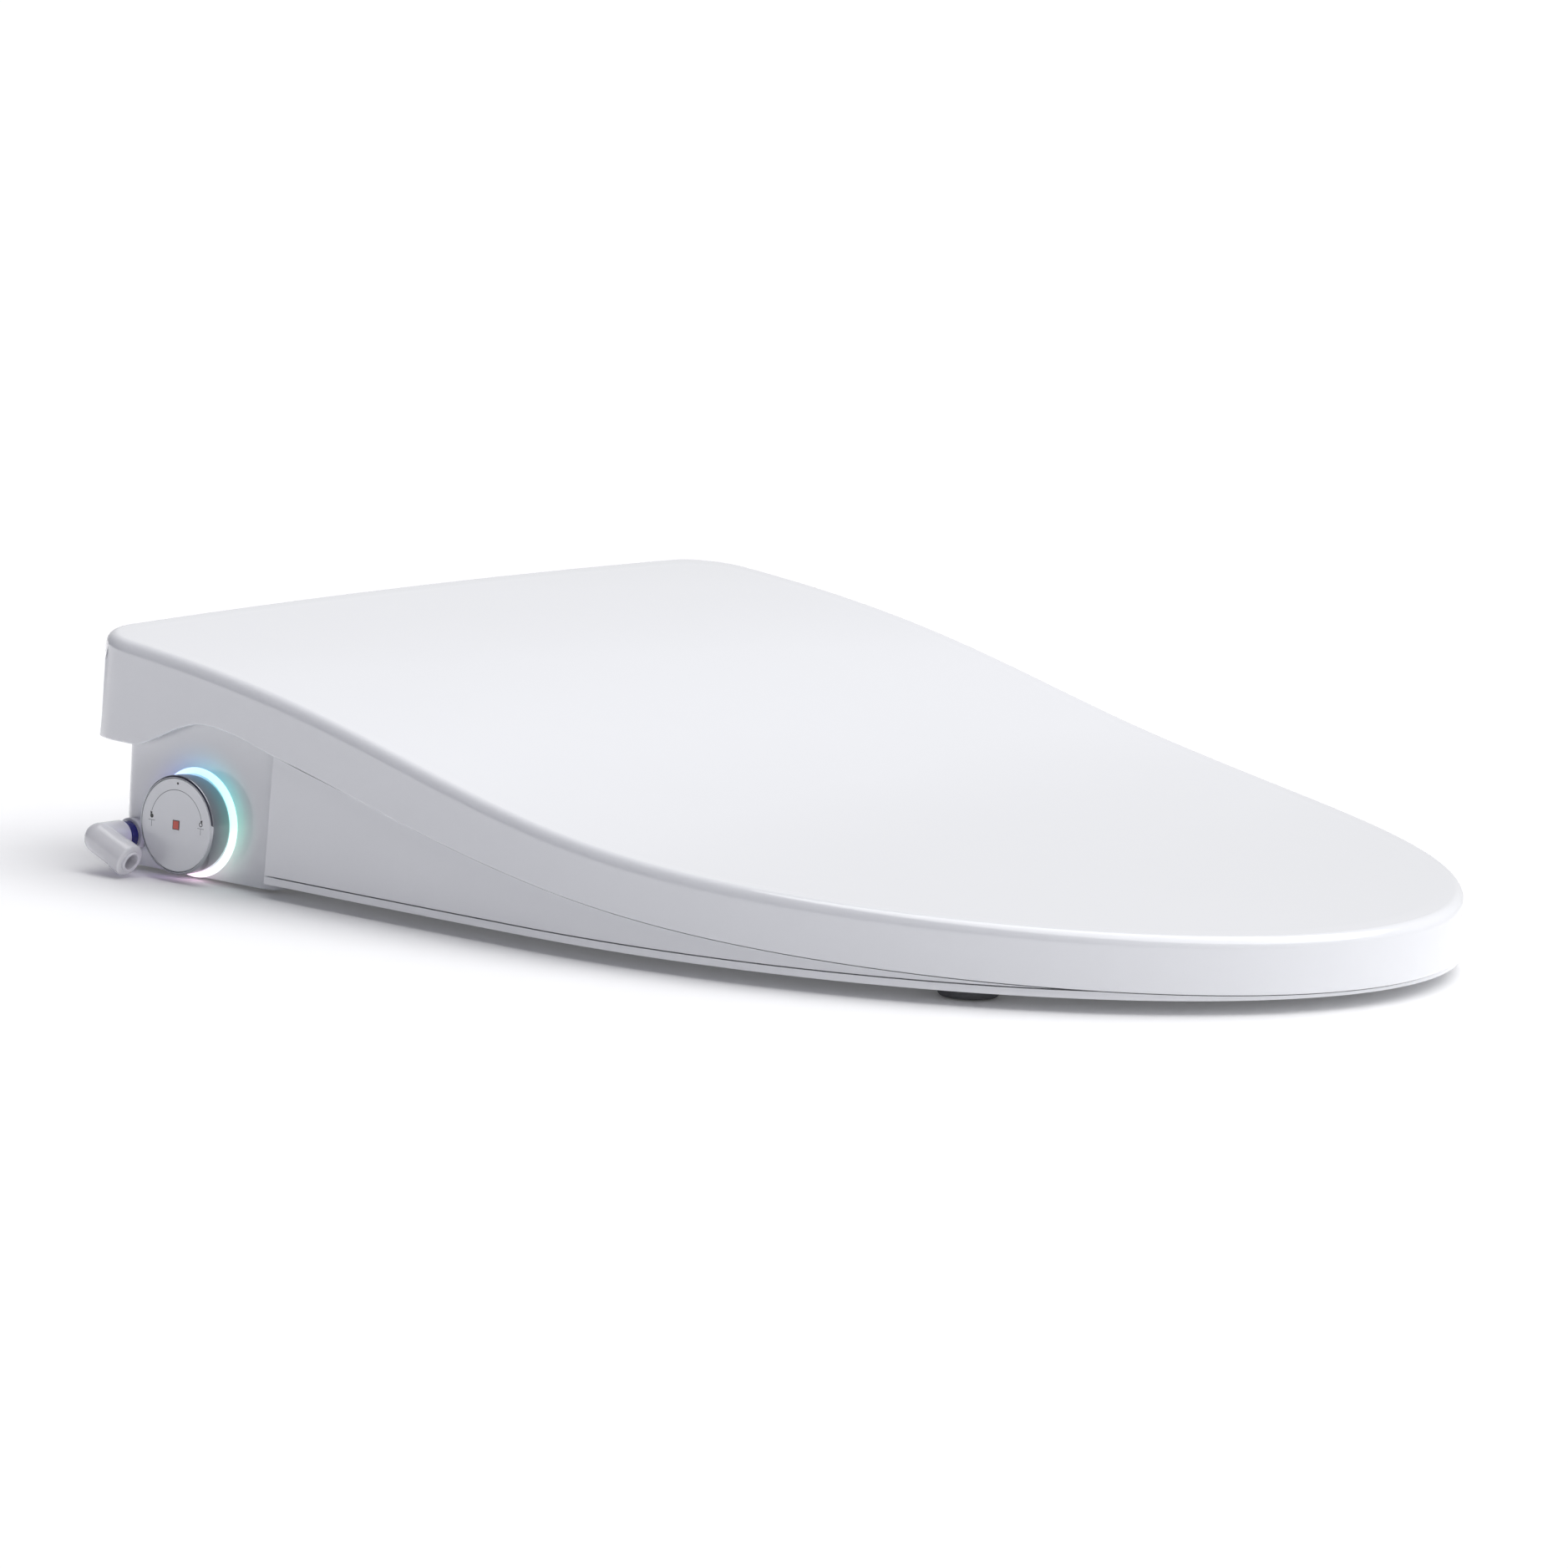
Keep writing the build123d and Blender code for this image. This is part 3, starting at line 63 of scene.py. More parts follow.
SLOT_COLOURS = {m["slot"]: m["base_color"][:3] for m in RECORD["materials"]}
NODE_SLOTS = {s["node"]: s["material_slot"] for s in RECORD["subparts"]}

bl_info = {
    "name": "Electric bidet seat",
    "version": (1, 0, 0),
    "blender": (4, 5, 0),
    "location": "3D View > Sidebar > Bidet seat",
    "description": "Builds the visible surfaces and finishes of an electric bidet seat around its CAD frame",
    "category": "Object",
}

MM = 0.001

# Plan and heights of the lid, in millimetres
WIDEST_Y = -194.0
REAR_Y = 48.5
REAR_NARROWING = 6.5
CORNER_RADIUS = 23.0
OUT_LOW = 5.6
DRAFT = 0.046
NOTCH = np.array(
    [(-33, 60.9), (-24.5, 61.9), (-15.5, 61.5), (-4.5, 58.1), (6.6, 52.9), (12, 50.5), (18.5, 49), (90, 49)]
)
REAR_LIP = 81.0
CREASE_LOW, CREASE_RISE, CREASE_SLOPE = 44.608, 45.36, 0.03304
RISE_MIDDLE_Y, RISE_SPREAD = -129.61, 56.532
SKIRT_DEPTH, SKIRT_DIP = 22.3, 1.6
DIP_Y, DIP_SPREAD = -125.0, 60.0
SPLINE_START_Y = -60.0
SPLINE_LEAD_Y = np.array([-110.0, -85.0, SPLINE_START_Y])
LID_CENTRE_Y = -170.0
NOSE_COLUMNS, SIDE_COLUMNS, EAR_COLUMNS, CORNER_COLUMNS, REAR_COLUMNS = 84, 76, 9, 9, 16
EAR_SHARE = 0.33
NEXT_TO_EAR = 0.002
OUT_START, SETTLING_ROUNDS = 8.0, 6
EAR_INSIDE_X = 178.6

# Knob and inlet on the -X cheek, in millimetres
KNOB_Y, KNOB_Z = -13.3, 22.4
KNOB_BACK, KNOB_FRONT = 179.6, 190.0
SHELL_RADIUS, CHEEK_SIDE_X = 19.4, -170.0


# ------------------------------------------------------------------ meshes
def make_piece(name, vertices, faces, body, slot, nodes, sharp_angle=40):
    """Mesh object from millimetre vertices: turned outwards, smooth between sharp creases, on its body."""
    corners = [np.array(f) for f in faces]
    volume = 0.0
    for block in corners:
        for k in range(1, block.shape[1] - 1):
            a, b, c = vertices[block[:, 0]], vertices[block[:, k]], vertices[block[:, k + 1]]
            volume += np.einsum("ij,ij->i", a, np.cross(b, c)).sum()
    if volume < 0:
        corners = [block[:, ::-1] for block in corners]
    mesh = bpy.data.meshes.new(name)
    mesh.from_pydata((vertices * MM).tolist(), [], [f for block in corners for f in block.tolist()])
    mesh.validate()
    mesh.shade_smooth()
    mesh.set_sharp_from_angle(angle=radians(sharp_angle))
    piece = bpy.data.objects.new(name, mesh)
    bpy.context.scene.collection.objects.link(piece)
    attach(piece, body)
    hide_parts(*nodes)
    piece.data.materials.append(finish(slot))
    return piece


def grid_faces(rows, columns, closed_rows=False):
    """Quads between neighbouring points of a grid whose last column joins its first."""
    r = np.arange(rows if closed_rows else rows - 1)[:, None]
    c = np.arange(columns)[None, :]
    below, beside = (r + 1) % rows, (c + 1) % columns
    here, there = r * columns, below * columns
    quads = np.stack([here + c, here + beside, there + beside, there + c], -1)
    return quads.reshape(-1, 4)


def capped_grid(rows):
    """Vertices and faces of stacked closed rows whose first and last row shrink to one point each."""
    count = rows.shape[1]
    inner = rows[1:-1]
    vertices = np.concatenate([inner.reshape(-1, 3), rows[:1, 0], rows[-1:, 0]])
    quads = grid_faces(len(inner), count)
    c = np.arange(count)
    beside = (c + 1) % count
    first, last = len(vertices) - 2, len(vertices) - 1
    start = (len(inner) - 1) * count
    caps = [
        np.stack([np.full(count, first), beside, c], -1),
        np.stack([np.full(count, last), start + c, start + beside], -1),
    ]
    return vertices, [quads, *caps]


def lathe(profile, axis_y, axis_z, segments=144):
    """Closed ring of points turned about an axis along X: a profile of (distance out along -X, radius)."""
    turn = np.linspace(0, 2 * pi, segments, endpoint=False)[None, :]
    out, radius = profile[:, :1], profile[:, 1:]
    points = [-out + 0 * turn, axis_y + radius * np.cos(turn), axis_z + radius * np.sin(turn)]
    return np.stack(points, -1)


def rounded(profile, radius, steps=6):
    """Profile with each inner corner replaced by a quadratic blend that starts a radius before the corner."""
    points = [np.array(profile[0], float)[None]]
    t = np.linspace(0, 1, steps)[:, None]
    for before, at, after in zip(profile[:-2], profile[1:-1], profile[2:]):
        before, at, after = (np.array(p, float) for p in (before, at, after))
        first, second = before - at, after - at
        reach = min(radius, 0.45 * np.hypot(*first), 0.45 * np.hypot(*second))
        start = at + first / np.hypot(*first) * reach
        end = at + second / np.hypot(*second) * reach
        points.append((1 - t) ** 2 * start + 2 * t * (1 - t) * at + t**2 * end)
    points.append(np.array(profile[-1], float)[None])
    return np.concatenate(points)


# ------------------------------------------------------------------ shape of the lid and seat
def crease_height(y):
    """Height of the crease: a constant, a logistic step from the low nose to the high rear, and a slope."""
    return CREASE_LOW + CREASE_RISE / (1 + np.exp(-(y - RISE_MIDDLE_Y) / RISE_SPREAD)) + CREASE_SLOPE * y


def front_edge(y):
    """Lower edge of the skirt in front: a constant depth under the crease, with a shallow bell-shaped dip."""
    return crease_height(y) - SKIRT_DEPTH - SKIRT_DIP * np.exp(-(((y - DIP_Y) / DIP_SPREAD) ** 2))


def skirt_edge(y):
    """Lower edge of the skirt: the front edge, then a spline that arches over the knob to the ear.

    The spline is cubic between its points, with each point's slope taken from its neighbours."""
    knots = np.concatenate([SPLINE_LEAD_Y, NOTCH[:, 0]])
    heights = np.concatenate([front_edge(SPLINE_LEAD_Y), NOTCH[:, 1]])
    slopes = np.gradient(heights, knots)
    slopes[-2:] = 0
    at = np.clip(y, knots[0], knots[-1] - 1e-6)
    k = np.clip(np.searchsorted(knots, at, side="right") - 1, 0, len(knots) - 2)
    gap = knots[k + 1] - knots[k]
    t = (at - knots[k]) / gap
    cubic = (2 * t**3 - 3 * t**2 + 1) * heights[k] + (t**3 - 2 * t**2 + t) * gap * slopes[k]
    cubic += (3 * t**2 - 2 * t**3) * heights[k + 1] + (t**3 - t**2) * gap * slopes[k + 1]
    return np.where(y < SPLINE_START_Y, front_edge(y), cubic)


def top_height(x, y, drop, crown, sizes):
    """Top surface: the crease height less drop, plus a crown that fades as a parabola outwards."""
    ahead = np.minimum(y - WIDEST_Y, 0) / sizes["nose_length"]
    return crease_height(y) - drop + crown * (1 - ahead**2) - crown * (x / sizes["half_width"]) ** 2


def half_outline(out, sizes):
    """+X half of the plan outline moved outwards by out, from the nose to the middle of the rear.

    A quarter ellipse, then a side whose half width shrinks with the square of the distance behind the widest
    place, then a circular corner tangent to it, then a straight rear."""
    half, nose = sizes["half_width"], sizes["nose_length"]
    ends = np.cumsum([NOSE_COLUMNS, SIDE_COLUMNS, EAR_COLUMNS + CORNER_COLUMNS, REAR_COLUMNS])
    a, b, c, d = out[:, : ends[0]], out[:, ends[0] : ends[1]], out[:, ends[1] : ends[2]], out[:, ends[2] :]
    turn = np.linspace(-pi / 2, 0, NOSE_COLUMNS, endpoint=False)
    nose_x, nose_y = (half + a) * np.cos(turn), WIDEST_Y + (nose + a) * np.sin(turn)

    def side_x(y, grown):
        return half + grown - REAR_NARROWING * ((y - WIDEST_Y) / (REAR_Y - WIDEST_Y + grown)) ** 2

    def corner(grown):
        centre_y = REAR_Y - CORNER_RADIUS
        lean = 2 * REAR_NARROWING * (centre_y - WIDEST_Y) / (REAR_Y - WIDEST_Y + grown) ** 2
        radius = CORNER_RADIUS + grown
        tangent_y = centre_y + radius * np.sin(lean)
        return side_x(tangent_y, grown) - radius * np.cos(lean), centre_y, radius, lean, tangent_y

    tangent_y = corner(b)[4]
    side_y = WIDEST_Y + (tangent_y - WIDEST_Y) * np.linspace(0, 1, SIDE_COLUMNS, endpoint=False)
    centre_x, centre_y, radius, lean, _ = corner(c)
    ear_share = np.linspace(0, EAR_SHARE, EAR_COLUMNS)
    share = np.concatenate([ear_share, np.linspace(EAR_SHARE + NEXT_TO_EAR, 1, CORNER_COLUMNS)])
    angle = lean + (pi / 2 - lean) * share
    corner_x, corner_y = centre_x + radius * np.cos(angle), centre_y + radius * np.sin(angle)
    rear_x = corner(d)[0] * np.linspace(1, 0, REAR_COLUMNS + 1)[1:]
    x = np.concatenate([nose_x, side_x(side_y, b), corner_x, rear_x], 1)
    y = np.concatenate([nose_y, side_y, corner_y, REAR_Y + d], 1)
    return x, y


def whole(row_x, row_y, row_z):
    """Rows of points of the +X half, mirrored to a closed loop."""
    half = np.stack([row_x, row_y, row_z], -1)
    return np.concatenate([half, half[:, -2:0:-1] * (-1, 1, 1)], 1)


class Shell:
    """Rows of a drafted shell, each at an inset from the skirt and at a fall from the top or a height.

    The crease's height and the outline depend on each other, so a few rounds settle them."""

    def __init__(self, sizes, drop, crown, base_inset):
        self.sizes, self.drop, self.crown, self.base = sizes, drop, crown, base_inset
        count = NOSE_COLUMNS + SIDE_COLUMNS + EAR_COLUMNS + CORNER_COLUMNS + REAR_COLUMNS
        out = np.full((1, count), OUT_START - base_inset)
        for _ in range(SETTLING_ROUNDS):
            x, y = half_outline(out, sizes)
            self.crease = top_height(x, y, drop, crown, sizes)
            out = OUT_LOW - DRAFT * self.crease - base_inset
        self.y = y

    def top(self, inset, fall=0.0):
        """Row on the top surface at an inset, lowered by fall."""
        out = OUT_LOW - DRAFT * (self.crease - fall) - self.base - inset
        x, y = half_outline(out, self.sizes)
        return x, y, top_height(x, y, self.drop, self.crown, self.sizes) - fall

    def edge(self, radius, steps):
        """Rows of the rounded upper edge: a quarter circle from the top surface down to the skirt."""
        turn = np.linspace(0, pi / 2, steps)
        return [self.top(radius * (1 - sin(a)), radius * (1 - cos(a))) for a in turn]

    def wall(self, inset, height):
        """Row on the drafted wall at an inset and a height. The ear stays clear of the cheek."""
        height = np.broadcast_to(height, self.crease.shape)
        x, y = half_outline(OUT_LOW - DRAFT * height - self.base - inset, self.sizes)
        column = np.arange(x.shape[1]) - NOSE_COLUMNS - SIDE_COLUMNS
        ear = (column >= 0) & (column < EAR_COLUMNS) & (height < REAR_LIP)
        return np.where(ear, np.maximum(x, EAR_INSIDE_X), x), y, height

    def inwards(self, radius, shares, centre_y):
        """Rows on the top surface drawn from the rounded edge in towards the middle, to a single point."""
        x, y, _ = self.top(radius)
        rows = []
        for share in shares:
            row_x, row_y = x * share, centre_y + (y - centre_y) * share
            rows.append((row_x, row_y, top_height(row_x, row_y, self.drop, self.crown, self.sizes)))
        return rows


def lid_surface(sizes):
    """Lid: crowned top, rounded edge, drafted skirt down to its curved edge, and the same one wall inside."""
    outer = Shell(sizes, 0.0, sizes["crown"], 0.0)
    inner = Shell(sizes, sizes["wall"], sizes["crown"], sizes["wall"])
    low = skirt_edge(outer.y)
    rear = NOSE_COLUMNS + SIDE_COLUMNS + EAR_COLUMNS
    low[:, rear:] = REAR_LIP
    edge, wall, lip = sizes["edge_radius"], sizes["wall"], sizes["lip_radius"]
    shares = np.linspace(0, 1, 34)
    rows = outer.inwards(edge, shares, LID_CENTRE_Y)[:-1]
    rows += outer.edge(edge, 12)
    start = rows[-1][2]
    for share in np.linspace(0, 1, 22)[1:]:
        rows.append(outer.wall(0.0, start + (low + lip - start) * share))
    for a in np.linspace(0, pi / 2, 5)[1:]:
        rows.append(outer.wall(lip * (1 - cos(a)), low + lip * (1 - sin(a))))
    for a in np.linspace(0, pi / 2, 4):
        rows.append(outer.wall(wall - lip * (1 - sin(a)), low + lip * (1 - cos(a))))
    inner_edge = inner.edge(edge - wall, 8)[::-1]
    start = inner_edge[0][2]
    for share in np.linspace(0, 1, 16)[1:-1]:
        rows.append(inner.wall(0.0, low + lip + (start - low - lip) * share))
    rows += inner_edge
    rows += inner.inwards(edge - wall, [*shares[::-2][1:], 0.0], LID_CENTRE_Y)
    return np.concatenate([whole(*row) for row in rows])


# ------------------------------------------------------------------ finishes
class Value:
    """Number at each place on a surface. Sums and comparisons on it add Math nodes to its finish."""

    def __init__(self, owner, socket):
        self.owner, self.socket = owner, socket

    def __add__(self, other):
        return self.owner.maths("ADD", self, other)

    def __sub__(self, other):
        return self.owner.maths("SUBTRACT", self, other)

    def __rsub__(self, other):
        return self.owner.maths("SUBTRACT", other, self)

    def __mul__(self, other):
        return self.owner.maths("MULTIPLY", self, other)

    def __truediv__(self, other):
        return self.owner.maths("DIVIDE", self, other)

    def __pow__(self, other):
        return self.owner.maths("POWER", self, other)

    def __lt__(self, other):
        return self.owner.maths("LESS_THAN", self, other)

    def __gt__(self, other):
        return self.owner.maths("GREATER_THAN", self, other)

    def __abs__(self):
        return self.owner.maths("ABSOLUTE", self)

    __radd__ = __add__
    __rmul__ = __mul__


class Finish:
    """Material under construction: even values stand on the shader's sockets, what varies comes from nodes."""

    def __init__(self, name, colour, roughness, **even):
        self.material = bpy.data.materials.new(name)
        self.material.use_nodes = True
        self.material.diffuse_color = (*colour, 1)
        self.tree = self.material.node_tree
        self.shader = self.tree.nodes["Principled BSDF"]
        self.shader.inputs["Base Color"].default_value = (*colour, 1)
        self.shader.inputs["Roughness"].default_value = roughness
        for socket, value in even.items():
            self.shader.inputs[socket.replace("_", " ")].default_value = value
        place = self.node("ShaderNodeTexCoord").outputs["Object"]
        scaled = self.node("ShaderNodeVectorMath", {"operation": "SCALE"}, {0: place, "Scale": 1 / MM})
        self.place = scaled.outputs[0]
        parts = self.node("ShaderNodeSeparateXYZ", {}, {0: self.place})
        self.x, self.y, self.z = (Value(self, parts.outputs[k]) for k in range(3))

    def node(self, kind, settings=None, sockets=None):
        """Adds a node: first its settings, such as a ramp's stops, then its sockets' values or links."""
        made = self.tree.nodes.new(kind)
        for name, value in (settings or {}).items():
            if name == "stops":
                elements = made.color_ramp.elements
                while len(elements) < len(value):
                    elements.new(1.0)
                for element, (place, colour) in zip(elements, value):
                    element.position = place
                    element.color = (*colour, 1)
            else:
                setattr(made, name, value)
        for key, value in (sockets or {}).items():
            value = value.socket if isinstance(value, Value) else value
            if isinstance(value, bpy.types.NodeSocket):
                self.tree.links.new(value, made.inputs[key])
            else:
                made.inputs[key].default_value = value
        return made

    def maths(self, operation, first, second=0.0):
        """Math node on two values or numbers."""
        made = self.node("ShaderNodeMath", {"operation": operation}, {0: first, 1: second})
        return Value(self, made.outputs[0])

    def noise(self, size, detail=2.0, stretch=(1, 1, 1)):
        """Noise from 0 to 1 with lumps of a size in millimetres, stretched along the axes."""
        place = self.place
        if stretch != (1, 1, 1):
            by = tuple(1 / s for s in stretch)
            place = self.node("ShaderNodeVectorMath", {"operation": "MULTIPLY"}, {0: place, 1: by}).outputs[0]
        made = self.node("ShaderNodeTexNoise", {}, {"Vector": place, "Scale": 1 / size, "Detail": detail})
        return Value(self, made.outputs[0])

    def cells(self, size):
        """Distance to the nearest point of a scattered set, with cells of a size in millimetres."""
        made = self.node("ShaderNodeTexVoronoi", {}, {"Vector": self.place, "Scale": 1 / size})
        return Value(self, made.outputs["Distance"])

    def ramp(self, value, stops):
        """Colour read from stops of (place, colour) at a value from 0 to 1."""
        return self.node("ShaderNodeValToRGB", {"stops": stops}, {0: value}).outputs[0]

    def mix(self, share, first, second, blend="MIX"):
        """Colour between two colours by a share."""
        first, second = ((*c, 1) if isinstance(c, tuple) and len(c) == 3 else c for c in (first, second))
        settings = {"data_type": "RGBA", "blend_type": blend}
        return self.node("ShaderNodeMix", settings, {0: share, 6: first, 7: second}).outputs[2]

    def paint(self, colour):
        self.node_link(colour, "Base Color")

    def gloss(self, roughness):
        self.node_link(roughness, "Roughness")

    def node_link(self, value, socket):
        """Joins a varying value or colour to one of the shader's sockets."""
        value = value.socket if isinstance(value, Value) else value
        self.tree.links.new(value, self.shader.inputs[socket])

    def relief(self, height, depth):
        """Bump of a height from 0 to 1 that stands depth millimetres high."""
        made = self.node("ShaderNodeBump", {}, {"Height": height, "Distance": depth * MM, "Strength": 1.0})
        self.node_link(made.outputs[0], "Normal")

    def limit(self, value, low=0.0, high=1.0):
        """Value kept between two numbers."""
        return self.maths("MINIMUM", self.maths("MAXIMUM", value, low), high)


def looks():
    """Colours and glow set in the panel."""
    return bpy.context.scene.bidet_looks


def moulded(name, colour, roughness=0.3, grain=0.8, depth=0.004, tone=0.03, **even):
    """Moulded plastic: a fine grain, a slow change of tone and a slightly uneven gloss."""
    made = Finish(name, colour, roughness, **even)
    slow = made.noise(60, 3)
    darker = tuple(c * (1 - tone) for c in colour)
    made.paint(made.mix(slow, darker, colour))
    made.gloss(roughness * 0.85 + roughness * 0.3 * made.noise(25, 4))
    made.relief(made.noise(grain, 3), depth)
    return made


def about_knob(made):
    """Place about the knob's axis: sideways, upwards, the distance from it and the angle from straight up."""
    across, up = KNOB_Y - made.y, made.z - KNOB_Z
    return across, up, made.maths("SQRT", across * across + up * up), made.maths("ARCTAN2", across, up)


def polished(name, colour, **even):
    """Polished plastic under a clear skin: mirror-like with a barely visible flow pattern from the mould."""
    clear_skin = {"Coat_Weight": 0.8, "Coat_Roughness": 0.03, "IOR": 1.5}
    return moulded(name, colour, 0.12, 9.0, 0.006, 0.015, **clear_skin, **even)


# Colours of the light ring round the knob, by the share of a turn; the glow painted on the cheek takes the
# same colours
GLOW_STOPS = [
    (0.0, (1.0, 0.42, 0.72)),
    (0.18, (0.45, 0.3, 1.0)),
    (0.36, (0.22, 0.25, 1.0)),
    (0.5, (0.12, 0.6, 1.0)),
    (0.62, (0.12, 0.95, 1.0)),
    (0.74, (0.2, 1.0, 0.72)),
    (0.86, (0.85, 1.0, 0.9)),
    (1.0, (1.0, 0.5, 0.75)),
]


def housing_finish(name, colour):
    """Polished plastic with a glow painted on its cheek round the knob's base: emission that stands in
    for the ring's coloured light falling on the cheek.

    The painted glow fades with the distance from the ring, is stronger on one side, and its colour turns with
    the angle about the knob."""
    made = polished(name, colour, Emission_Strength=looks().glow_strength)
    _, _, distance, turn = about_knob(made)
    # Painted glow: emission on the cheek, not lamp light, fading out from the edge of the ring
    beyond = made.limit((distance - SHELL_RADIUS) / (looks().glow_reach / MM))
    painted_glow_fade = (1 - beyond) ** 2.2 * (made.x < CHEEK_SIDE_X)
    turn = turn / (2 * pi) + 0.5
    hue = made.ramp(turn, GLOW_STOPS)
    # The painted glow is made stronger on one side of the knob than on the other
    side = made.limit(0.62 + 0.5 * made.maths("SINE", (turn - 0.5) * 2 * pi + 0.5))
    made.node_link(made.mix(painted_glow_fade * side, (0.0, 0.0, 0.0), hue), "Emission Color")
    return made


def ring_finish(name, colour):
    """Frosted light guide that shines in the colours of the glow, with a soft grain of diffusing specks."""
    made = Finish(name, colour, 0.5, Emission_Strength=looks().ring_strength)
    turn = about_knob(made)[3] / (2 * pi) + 0.5
    hue = made.ramp(turn, GLOW_STOPS)
    bright = 0.85 + 0.15 * made.noise(1.2, 3)
    made.node_link(made.mix(bright, (0.2, 0.2, 0.25), made.mix(0.35, hue, (1.0, 1.0, 1.0))), "Emission Color")
    made.relief(made.cells(0.4), 0.01)
    return made


# Marks printed on the dial, in millimetres and degrees
ARC_RADIUS, ARC_WIDTH, ARC_END = 13.7, 0.28, 75
ARROW_WIDTH, ARROW_LENGTH = 1.24, 1.9
SIGN_X, SIGN_Y = 13.0, 1.9


def dial_finish(name, colour):
    """Satin silver dial with printed marks: a dot, an arc with arrowheads, a sign for each way it turns."""
    made = Finish(name, colour, 0.34, Metallic=0.35, Coat_Weight=0.4, Coat_Roughness=0.12)
    across, up, distance, turn = about_knob(made)

    def spot(x, y, radius):
        return (across - x) * (across - x) + (up - y) * (up - y) < radius * radius

    def bar(x, y, wide, high):
        return (abs(across - x) < wide / 2) * (abs(up - y) < high / 2)

    arc = (abs(distance - ARC_RADIUS) < ARC_WIDTH / 2) * (abs(turn) < radians(ARC_END - 1))
    heads, stems = 0.0, 0.0
    for side in (-1, 1):
        along = (turn - side * radians(ARC_END)) * side * ARC_RADIUS
        width = abs(distance - ARC_RADIUS) < ARROW_WIDTH / 2 * (1 - along / ARROW_LENGTH)
        heads = heads + width * (along > 0.0) * (along < ARROW_LENGTH)
        stems = stems + bar(side * SIGN_X, 0.3, 3.4, 0.22) + bar(side * SIGN_X, -1.0, 0.26, 2.4)
    ring = spot(SIGN_X, SIGN_Y, 0.95) * (1 - spot(SIGN_X, SIGN_Y, 0.6))
    black = made.limit(spot(0.0, 16.3, 0.5) + heads + spot(-SIGN_X, SIGN_Y, 0.85) + ring)
    grey = made.limit(arc + stems)
    base = made.mix(made.noise(14, 3), tuple(c * 0.95 for c in colour), colour)
    marked = made.mix(grey, base, (0.2, 0.21, 0.23))
    made.paint(made.mix(black, marked, (0.012, 0.012, 0.014)))
    made.gloss(0.3 + 0.1 * made.noise(0.5, 2, (1, 6, 1)))
    made.node_link(0.35 * (1 - made.limit(black + grey)), "Metallic")
    made.relief(made.noise(0.35, 3), 0.002)
    return made


def chrome_finish(name, colour):
    """Plated chrome: near mirror with faint polishing haze."""
    made = Finish(name, colour, 0.06, Metallic=1.0)
    made.paint(made.mix(made.noise(8, 3), tuple(c * 0.94 for c in colour), colour))
    made.gloss(0.04 + 0.05 * made.noise(5, 4))
    made.relief(made.noise(6, 2), 0.002)
    return made


def metal_finish(name, colour):
    """Turned or drawn steel: fine lines along X and small changes of tone."""
    made = Finish(name, colour, 0.3, Metallic=1.0)
    lines = made.noise(0.35, 3, (30, 1, 1))
    made.paint(made.mix(lines, tuple(c * 0.8 for c in colour), colour))
    made.gloss(0.22 + 0.2 * made.noise(3, 4))
    made.relief(lines, 0.006)
    return made


def rubber_finish(name, colour):
    """Soft rubber: matt, dusty in patches, with a fine moulded grain."""
    made = Finish(name, colour, 0.75)
    dusty = tuple(min(1, c * 1.6 + 0.02) for c in colour)
    made.paint(made.mix(made.noise(7, 4) ** 2, colour, dusty))
    made.gloss(0.65 + 0.2 * made.noise(4, 3))
    made.relief(made.cells(0.5), 0.03)
    return made


def stop_finish(name, colour):
    """Red inlay with a dark painted border."""
    made = Finish(name, colour, 0.25, Coat_Weight=0.5)
    across, up = abs(KNOB_Y - made.y), abs(made.z - KNOB_Z)
    border = made.limit((across > 1.4) + (up > 1.55))
    inlay = made.mix(made.noise(1.5), tuple(c * 0.8 for c in colour), colour)
    made.paint(made.mix(border, inlay, (0.06, 0.004, 0.006)))
    made.relief(made.noise(0.5), 0.003)
    return made


def mesh_finish(name, colour):
    """Woven strainer wire: crossing sine waves along the tube and round it."""
    made = Finish(name, colour, 0.4, Metallic=1.0)
    weave = made.maths("SINE", made.x * (2 * pi / 0.6)) * made.maths("SINE", made.z * (2 * pi / 0.6))
    made.paint(made.mix(made.limit(weave * 0.5 + 0.5), tuple(c * 0.3 for c in colour), colour))
    made.relief(weave, 0.05)
    return made


def board_finish(name, colour):
    """Circuit board lacquer: green with copper tracks along X and Y under it."""
    made = Finish(name, colour, 0.35, Coat_Weight=0.3)
    lanes = (made.noise(2.2, 0, (8, 1, 8)) > 0.55) + (made.noise(2.2, 0, (1, 8, 8)) > 0.6)
    lighter = tuple(min(1, c * 2.2 + 0.02) for c in colour)
    made.paint(made.mix(made.limit(lanes), colour, lighter))
    made.gloss(0.28 + 0.15 * made.noise(3, 3))
    made.relief(made.limit(lanes), 0.02)
    return made


def foil_finish(name, colour):
    """Heating foil: metal film with a heating track in lanes and fine creases."""
    made = Finish(name, colour, 0.35, Metallic=0.8)
    lanes = made.maths("SINE", made.x * (2 * pi / 9)) > 0.2
    made.paint(made.mix(lanes, colour, tuple(c * 0.6 for c in colour)))
    made.gloss(0.25 + 0.25 * made.noise(6, 4))
    made.relief(made.noise(4, 5), 0.15)
    return made


def translucent_finish(name, colour, clearness, roughness):
    """Clear or milky material that lets part of the light through, with a faintly rippled skin."""
    made = Finish(name, colour, roughness, Transmission_Weight=clearness, IOR=1.45)
    made.paint(made.mix(made.noise(10, 3), tuple(c * 0.93 for c in colour), colour))
    made.gloss(roughness * 0.8 + roughness * 0.4 * made.noise(4, 3))
    made.relief(made.noise(3, 3), 0.02)
    return made


MADE = {}


